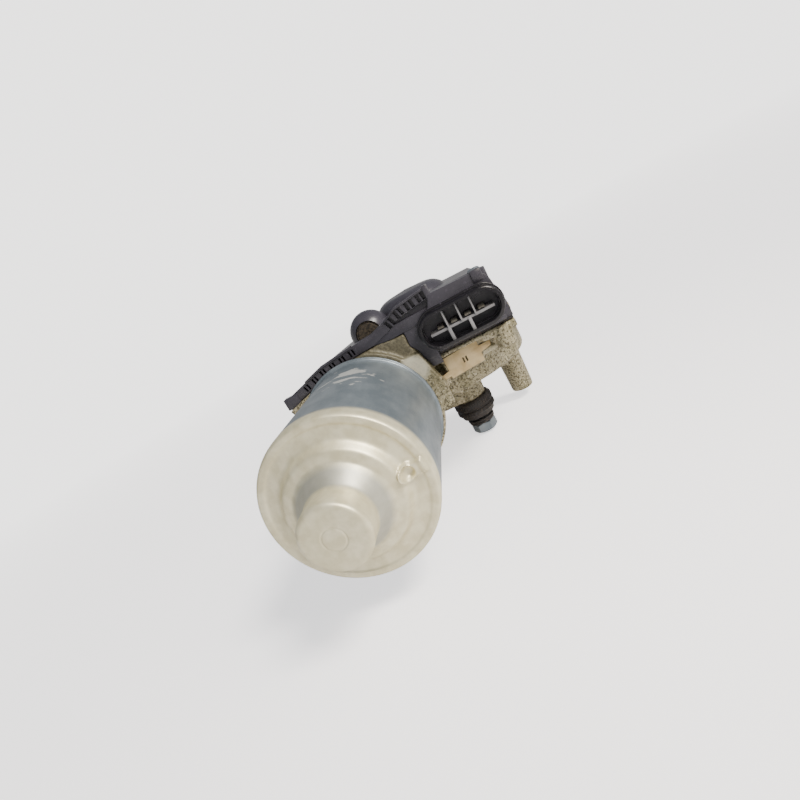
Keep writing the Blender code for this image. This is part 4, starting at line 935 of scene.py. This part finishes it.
class WIPER_OT_socket(Step, bpy.types.Operator):
    """Build what stands inside the socket: dividers, shelf, coding ribs and contact blades"""
    bl_idname = "wiper.socket"
    bl_label = "Socket"

    def build(self, context):
        plug = settings().socket
        pitch, inner_r = plug.pitch / MM, plug.collar / MM - plug.lip / MM
        floor_y = COLLAR_Y0 + plug.depth / MM
        shelf_z = COLLAR_Z - 1.1
        base = block((COLLAR_X - 14.5, COLLAR_Y0 + 2.6, shelf_z - 0.9),
                     (COLLAR_X + 14.5, floor_y + 0.5, shelf_z + 0.25), 0.2)
        adds = []
        for k in (-1, 0, 1):
            x = COLLAR_X + k * pitch
            adds.append(block((x - 0.35, COLLAR_Y0 + 1.6, shelf_z),
                              (x + 0.35, floor_y + 0.5, COLLAR_Z + inner_r + 0.4), 0.12))
        for x in (COLLAR_X - pitch, COLLAR_X + pitch / 2):
            adds.append(block((x - 0.7, COLLAR_Y0 + 1.4, COLLAR_Z - inner_r - 0.4),
                              (x + 0.7, floor_y + 0.5, shelf_z), 0.2))
        # the dividers are moulded black like the cover; the grey finish on them is painted
        # highlight
        piece(merged("socket_dividers", base, adds), "grey_plastic")
        for k, node in enumerate(TERMINAL_NODES):
            lo, hi = corners(node)
            z1 = COLLAR_Z + 0.4
            tip = rounded([(lo.y, z1 - 0.4, 0), (lo.y + 1, z1, 0), (hi.y - 0.8, z1, 0),
                           (hi.y - 0.8, lo.z, 0), (hi.y, lo.z, 0), (hi.y, z1 - 0.8, 0),
                           (lo.y + 1, z1 - 0.8, 0)], 0)
            bm = prism(tip, lo.x, hi.x, "yz", edge=0.12)
            made = to_object(f"contact_blade_{k + 1}", bm)
            piece(made, "tinned_bronze", replaces=[node])


# ---- output end ----
class WIPER_OT_output_end(Step, bpy.types.Operator):
    """Build the dust cap with its grip ribs, the spacer ring and the arm nut"""
    bl_idname = "wiper.output_end"
    bl_label = "Output end"

    def build(self, context):
        out = settings().output
        z0, top, r = CAP_LO.z, CAP_HI.z, CAP_HI.x
        section = [(5.9, z0 + 0.2, 0.4), (r - 1.9, z0, 0.8), (r - 1.2, z0 + 2.6, 0.4),
                   (r - 0.5, z0 + 3.2, 0.5), (r - 0.5, z0 + 5, 0.3), (r - 1.1, z0 + 5.5, 0.3),
                   (r - 1.1, z0 + 6.2, 0.3), (r - 0.4, z0 + 6.7, 0.4), (r - 0.4, z0 + 9.9, 0.7),
                   (r - 1.2, top, 0.5), (9.05, top, 0.2), (9.05, z0 + 9.6, 0.2),
                   (7.4, z0 + 6.6, 0.4), (7.4, z0 + 2, 0.4), (5.9, z0 + 1.4, 0.3)]
        cap = to_object("rubber_dust_cap", lathe(rounded(section, 0.4), 96))
        piece(cap, "black_rubber", replaces=["dust_cap"])
        tree = blocks_along_path()
        for name, radius, z, tall in (("cap_upper_ribs", r - 0.55, z0 + 8.2, 2.9),
                                      ("cap_lower_ribs", r - 0.65, z0 + 4.1, 1.7)):
            circle = [(radius * cos(2 * pi * k / 96), radius * sin(2 * pi * k / 96), z)
                      for k in range(96)]
            ribs = grown(name, circle, [(k, (k + 1) % 96) for k in range(96)], tree,
                         {"Count": out.cap_ribs, "Size": (out.rib, 0.9 * MM, tall * MM),
                          "Material": finish_of("black_rubber")})
            piece(ribs, "black_rubber")
        r, lo, hi = RING_HI.x, RING_LO.z, RING_HI.z
        section = [(4.2, lo, 0.2), (r - 0.5, lo, 0.4), (r - 0.2, lo + 1, 0.3),
                   (r - 0.7, lo + 1.35, 0.2), (r, lo + 1.7, 0.3), (r, hi, 0.5), (4.2, hi, 0.2)]
        piece(to_object("rubber_spacer_ring", lathe(rounded(section, 0.3), 64)), "black_rubber",
              "output", ["spacer_ring"])
        flats = min(NUT_HI.x, NUT_HI.y)
        corner, cut = flats / cos(pi / 6), out.chamfer / MM
        lo, hi = NUT_LO.z, NUT_HI.z
        cone = lathe([(0, lo), (flats - 0.3, lo), (corner, lo + cut), (corner + 1, lo + cut),
                      (corner + 1, hi - cut), (corner, hi - cut), (flats - 0.1, hi), (0, hi)], 64)
        thread = lathe([(0, lo - 1), (4.9, lo - 1), (4.9, lo), (4.2, lo + 0.7), (4.2, hi - 0.7),
                        (4.9, hi), (4.9, hi + 1), (0, hi + 1)], 48)
        hexagon = arc(0, 0, corner, 0, 300, 5)
        nut = merged("hex_arm_nut", prism(hexagon, lo, hi), cuts=[thread], keeps=[cone])
        piece(nut, "zinc_plated_steel", "output", ["arm_nut"])


# ---- small fittings ----
class WIPER_OT_fittings(Step, bpy.types.Operator):
    """Build the cover screws, the earth clip and the vent disc"""
    bl_idname = "wiper.fittings"
    bl_label = "Fittings"

    def build(self, context):
        for name, tip, places, nodes in (
                ("cover_screw_long", -24, COVER_SCREWS[:1], SCREW_NODES[:1]),
                ("cover_screws_short", -11, COVER_SCREWS[1:], SCREW_NODES[1:])):
            section = rounded([(0, tip), (0.7, tip), (1.45, tip + 1.6), (1.45, 0.3),
                               (2.9, 0.3, 0.15), (2.9, 1.5, 0.6), (2.2, 2.4, 0.6), (0, 2.5)], 0)
            shank = lathe(section, 32)
            star = [((1.35 + 0.22 * cos(6 * a)) * cos(a), (1.35 + 0.22 * cos(6 * a)) * sin(a))
                    for a in (radians(10 * k) for k in range(36))]
            original = merged("screw_original", shank, cuts=[prism(star, 1.1, 3)])
            seats = [(x, y, z - 2.2) for x, y, z in places]
            screws = grown(name, seats, [], copies_at_points(),
                           {"Original": original, "Material": finish_of("zinc_plated_steel")})
            bpy.data.objects.remove(original, do_unlink=True)
            piece(screws, "zinc_plated_steel", replaces=nodes)

        plate = rounded([(-7.6, 47.3), (9.5, 47.3), (9.5, 51.4, 0.2), (15, 52.2, 0.4),
                         (15.4, 54.4, 0.4), (9.5, 54.6, 0.2), (9.5, 57.4), (-7.6, 57.4),
                         (-7.6, 51.2, 0.2), (-12.4, 50.4, 0.4), (-12.8, 48.2, 0.4),
                         (-7.6, 48.6, 0.2)], 0.5, 3)
        slots = [at_clip(prism(rounded([(x - 0.45, 50.9), (x + 0.45, 50.9), (x + 0.45, 53.6),
                                        (x - 0.45, 53.6)], 0.44), -4.5, -1, "xz"))
                 for x in (0.7, 2.2)]
        clip = merged("earth_clip", at_clip(prism(plate, -3.2, -2.5, "xz", edge=0.14)), cuts=slots)
        piece(clip, "chromated_strip", replaces=["ground_clip"])

        x, y, z = VENT_AT
        t = VENT_HI.y - VENT_LO.y
        section = [(0, 0.15, 0), (1.4, 0.15, 0.2), (1.7, 0, 0.2), (VENT_R - 1, 0, 0.3),
                   (VENT_R - 0.8, 0.35, 0.2), (VENT_R - 0.5, 0.35, 0.2), (VENT_R - 0.3, 0, 0.2),
                   (VENT_R, 0.3, 0.2), (VENT_R, t, 0.2), (0, t, 0)]
        piece(to_object("vent_disc", lathe(rounded(section, 0.2), 64, "y", (x, y, z))),
              "vent_membrane", replaces=["vent_plug"])


class WIPER_OT_carried_parts(Step, bpy.types.Operator):
    """Give every CAD piece that is still shown its real finish"""
    bl_idname = "wiper.carried_parts"
    bl_label = "Inner parts"

    def build(self, context):
        for part in frame["record"]["subparts"]:
            obj = frame["nodes"][part["node"]]
            obj.data.materials.clear()
            obj.data.materials.append(finish_of(part["material_slot"]))


# ---- stage ----
# Places in metres, angles in degrees.
FLOOR_HALF = 3
EYE = Vector((0.0217, -0.2498, 0.1044))
LOOK = Vector((-0.218, 0.943, -0.252)).normalized()
ROLL = 29.45
LENS_MM = 21.2
AIM = Vector((-0.02, -0.05, 0.045))     # where both lights point
SUN_FROM, SUN_ANGLE = Vector((0.55, -0.30, 0.70)), 17
KEY_SIZE, KEY_SIDE, KEY_RISE = 0.10, 0.05, 0.14     # key light, beside and above the camera


class WIPER_OT_stage(Step, bpy.types.Operator):
    """Lay the pale floor, hang the soft lights and set up the camera"""
    bl_idname = "wiper.stage"
    bl_label = "Stage"

    def build(self, context):
        stage = settings().stage
        scene = context.scene
        mesh = bpy.data.meshes.new("floor")
        mesh.from_pydata([(x * FLOOR_HALF, y * FLOOR_HALF, 0)
                          for x, y in ((-1, -1), (1, -1), (1, 1), (-1, 1))], [], [(0, 1, 2, 3)])
        floor = bpy.data.objects.new("floor", mesh)
        scene.collection.objects.link(floor)
        mesh.materials.append(self.seamless_paper(stage))

        world = bpy.data.worlds.new("studio")
        scene.world = world
        world.use_nodes = True
        tree = world.node_tree
        up = add_node(tree, "ShaderNodeTexCoord").outputs["Generated"]
        height = add_node(tree, "ShaderNodeSeparateXYZ", {0: up}).outputs["Z"]
        sky = blend(tree, remap(tree, height, 0.05, 0.55), (*stage.horizon, 1),
                    (*stage.zenith, 1))
        seen = add_node(tree, "ShaderNodeLightPath").outputs["Is Camera Ray"]
        back = tree.nodes["Background"]
        tree.links.new(blend(tree, seen, sky, (*stage.horizon, 1)), back.inputs["Color"])
        tree.links.new(remap(tree, seen, 0, 1, stage.sky, stage.backdrop),
                       back.inputs["Strength"])

        roll = radians(ROLL)
        level = LOOK.cross(Vector((0, 0, 1))).normalized()
        right = level * cos(roll) - level.cross(LOOK) * sin(roll)
        rise = right.cross(LOOK)
        lens = bpy.data.cameras.new("camera")
        lens.lens, lens.sensor_width, lens.clip_start = LENS_MM, 36, 0.01
        camera = bpy.data.objects.new("camera", lens)
        camera.matrix_world = Matrix.Translation(EYE) @ Matrix(
            (right, rise, -LOOK)).transposed().to_4x4()
        scene.collection.objects.link(camera)
        scene.camera = camera

        sun = bpy.data.lights.new("sun", "SUN")
        sun.energy, sun.angle, sun.color = stage.sun, radians(SUN_ANGLE), from_hex("#FFFAF2")
        key = bpy.data.lights.new("key", "AREA")
        key.size, key.energy, key.color = KEY_SIZE, stage.key_power, from_hex("#FFF6E8")
        for lamp, place in ((sun, SUN_FROM), (key, EYE + right * KEY_SIDE + rise * KEY_RISE)):
            holder = bpy.data.objects.new(lamp.name, lamp)
            turn = (AIM - place).to_track_quat("-Z", "Y").to_matrix().to_4x4()
            holder.matrix_world = Matrix.Translation(place) @ turn
            scene.collection.objects.link(holder)

    def seamless_paper(self, stage):
        """Matt white paper that fades into the lit backdrop far from the motor."""
        paper = bpy.data.materials.new("seamless_paper")
        paper.use_nodes = True
        tree = paper.node_tree
        shader = tree.nodes["Principled BSDF"]
        shader.inputs["Base Color"].default_value = (*stage.floor, 1)
        shader.inputs["Roughness"].default_value = 0.9
        shader.inputs["Specular IOR Level"].default_value = 0.1
        shader.inputs["Emission Color"].default_value = (*stage.floor, 1)
        seen = add_node(tree, "ShaderNodeLightPath").outputs["Is Camera Ray"]
        tree.links.new(remap(tree, seen, 0, 1, 0, stage.glow),
                       shader.inputs["Emission Strength"])
        coords = add_node(tree, "ShaderNodeTexCoord").outputs["Object"]
        away = add_node(tree, "ShaderNodeVectorMath", {0: coords}, operation="LENGTH").outputs[1]
        far = add_node(tree, "ShaderNodeEmission", {
            "Color": (*stage.horizon, 1),
            "Strength": remap(tree, seen, 0, 1, stage.sky, stage.backdrop)})
        mix = add_node(tree, "ShaderNodeMixShader", {0: remap(tree, away, 0.25, 1.6),
                                                     1: shader.outputs[0], 2: far.outputs[0]})
        tree.links.new(mix.outputs[0], tree.nodes["Material Output"].inputs["Surface"])
        return paper


class WIPER_PT_panel(bpy.types.Panel):
    """Lists the steps that build the motor"""
    bl_idname = "WIPER_PT_panel"
    bl_label = "Wiper Motor"
    bl_space_type = "VIEW_3D"
    bl_region_type = "UI"
    bl_category = "Wiper Motor"

    def draw(self, context):
        for group in ("can", "casting", "cover", "socket", "output", "stage"):
            box = self.layout.box()
            values = getattr(context.scene.wiper_motor, group)
            for name in values.__annotations__:
                box.prop(values, name)
        for step in STEPS:
            self.layout.operator(step.bl_idname)


STEPS = (WIPER_OT_stage, WIPER_OT_carried_parts, WIPER_OT_motor_can, WIPER_OT_casting,
         WIPER_OT_cover, WIPER_OT_hem_ribs, WIPER_OT_socket, WIPER_OT_output_end,
         WIPER_OT_fittings)
GROUPS = (CanSettings, CastingSettings, CoverSettings, SocketSettings, OutputSettings,
          StageSettings, WiperMotorSettings)


def register():
    for cls in GROUPS + STEPS + (WIPER_PT_panel,):
        bpy.utils.register_class(cls)
    bpy.types.Scene.wiper_motor = PointerProperty(type=WiperMotorSettings)


def unregister():
    del bpy.types.Scene.wiper_motor
    for cls in reversed(GROUPS + STEPS + (WIPER_PT_panel,)):
        bpy.utils.unregister_class(cls)


def main():
    register()
    for step in STEPS:
        group, action = step.bl_idname.split(".")
        getattr(getattr(bpy.ops, group), action)()


if __name__ == "__main__":
    main()
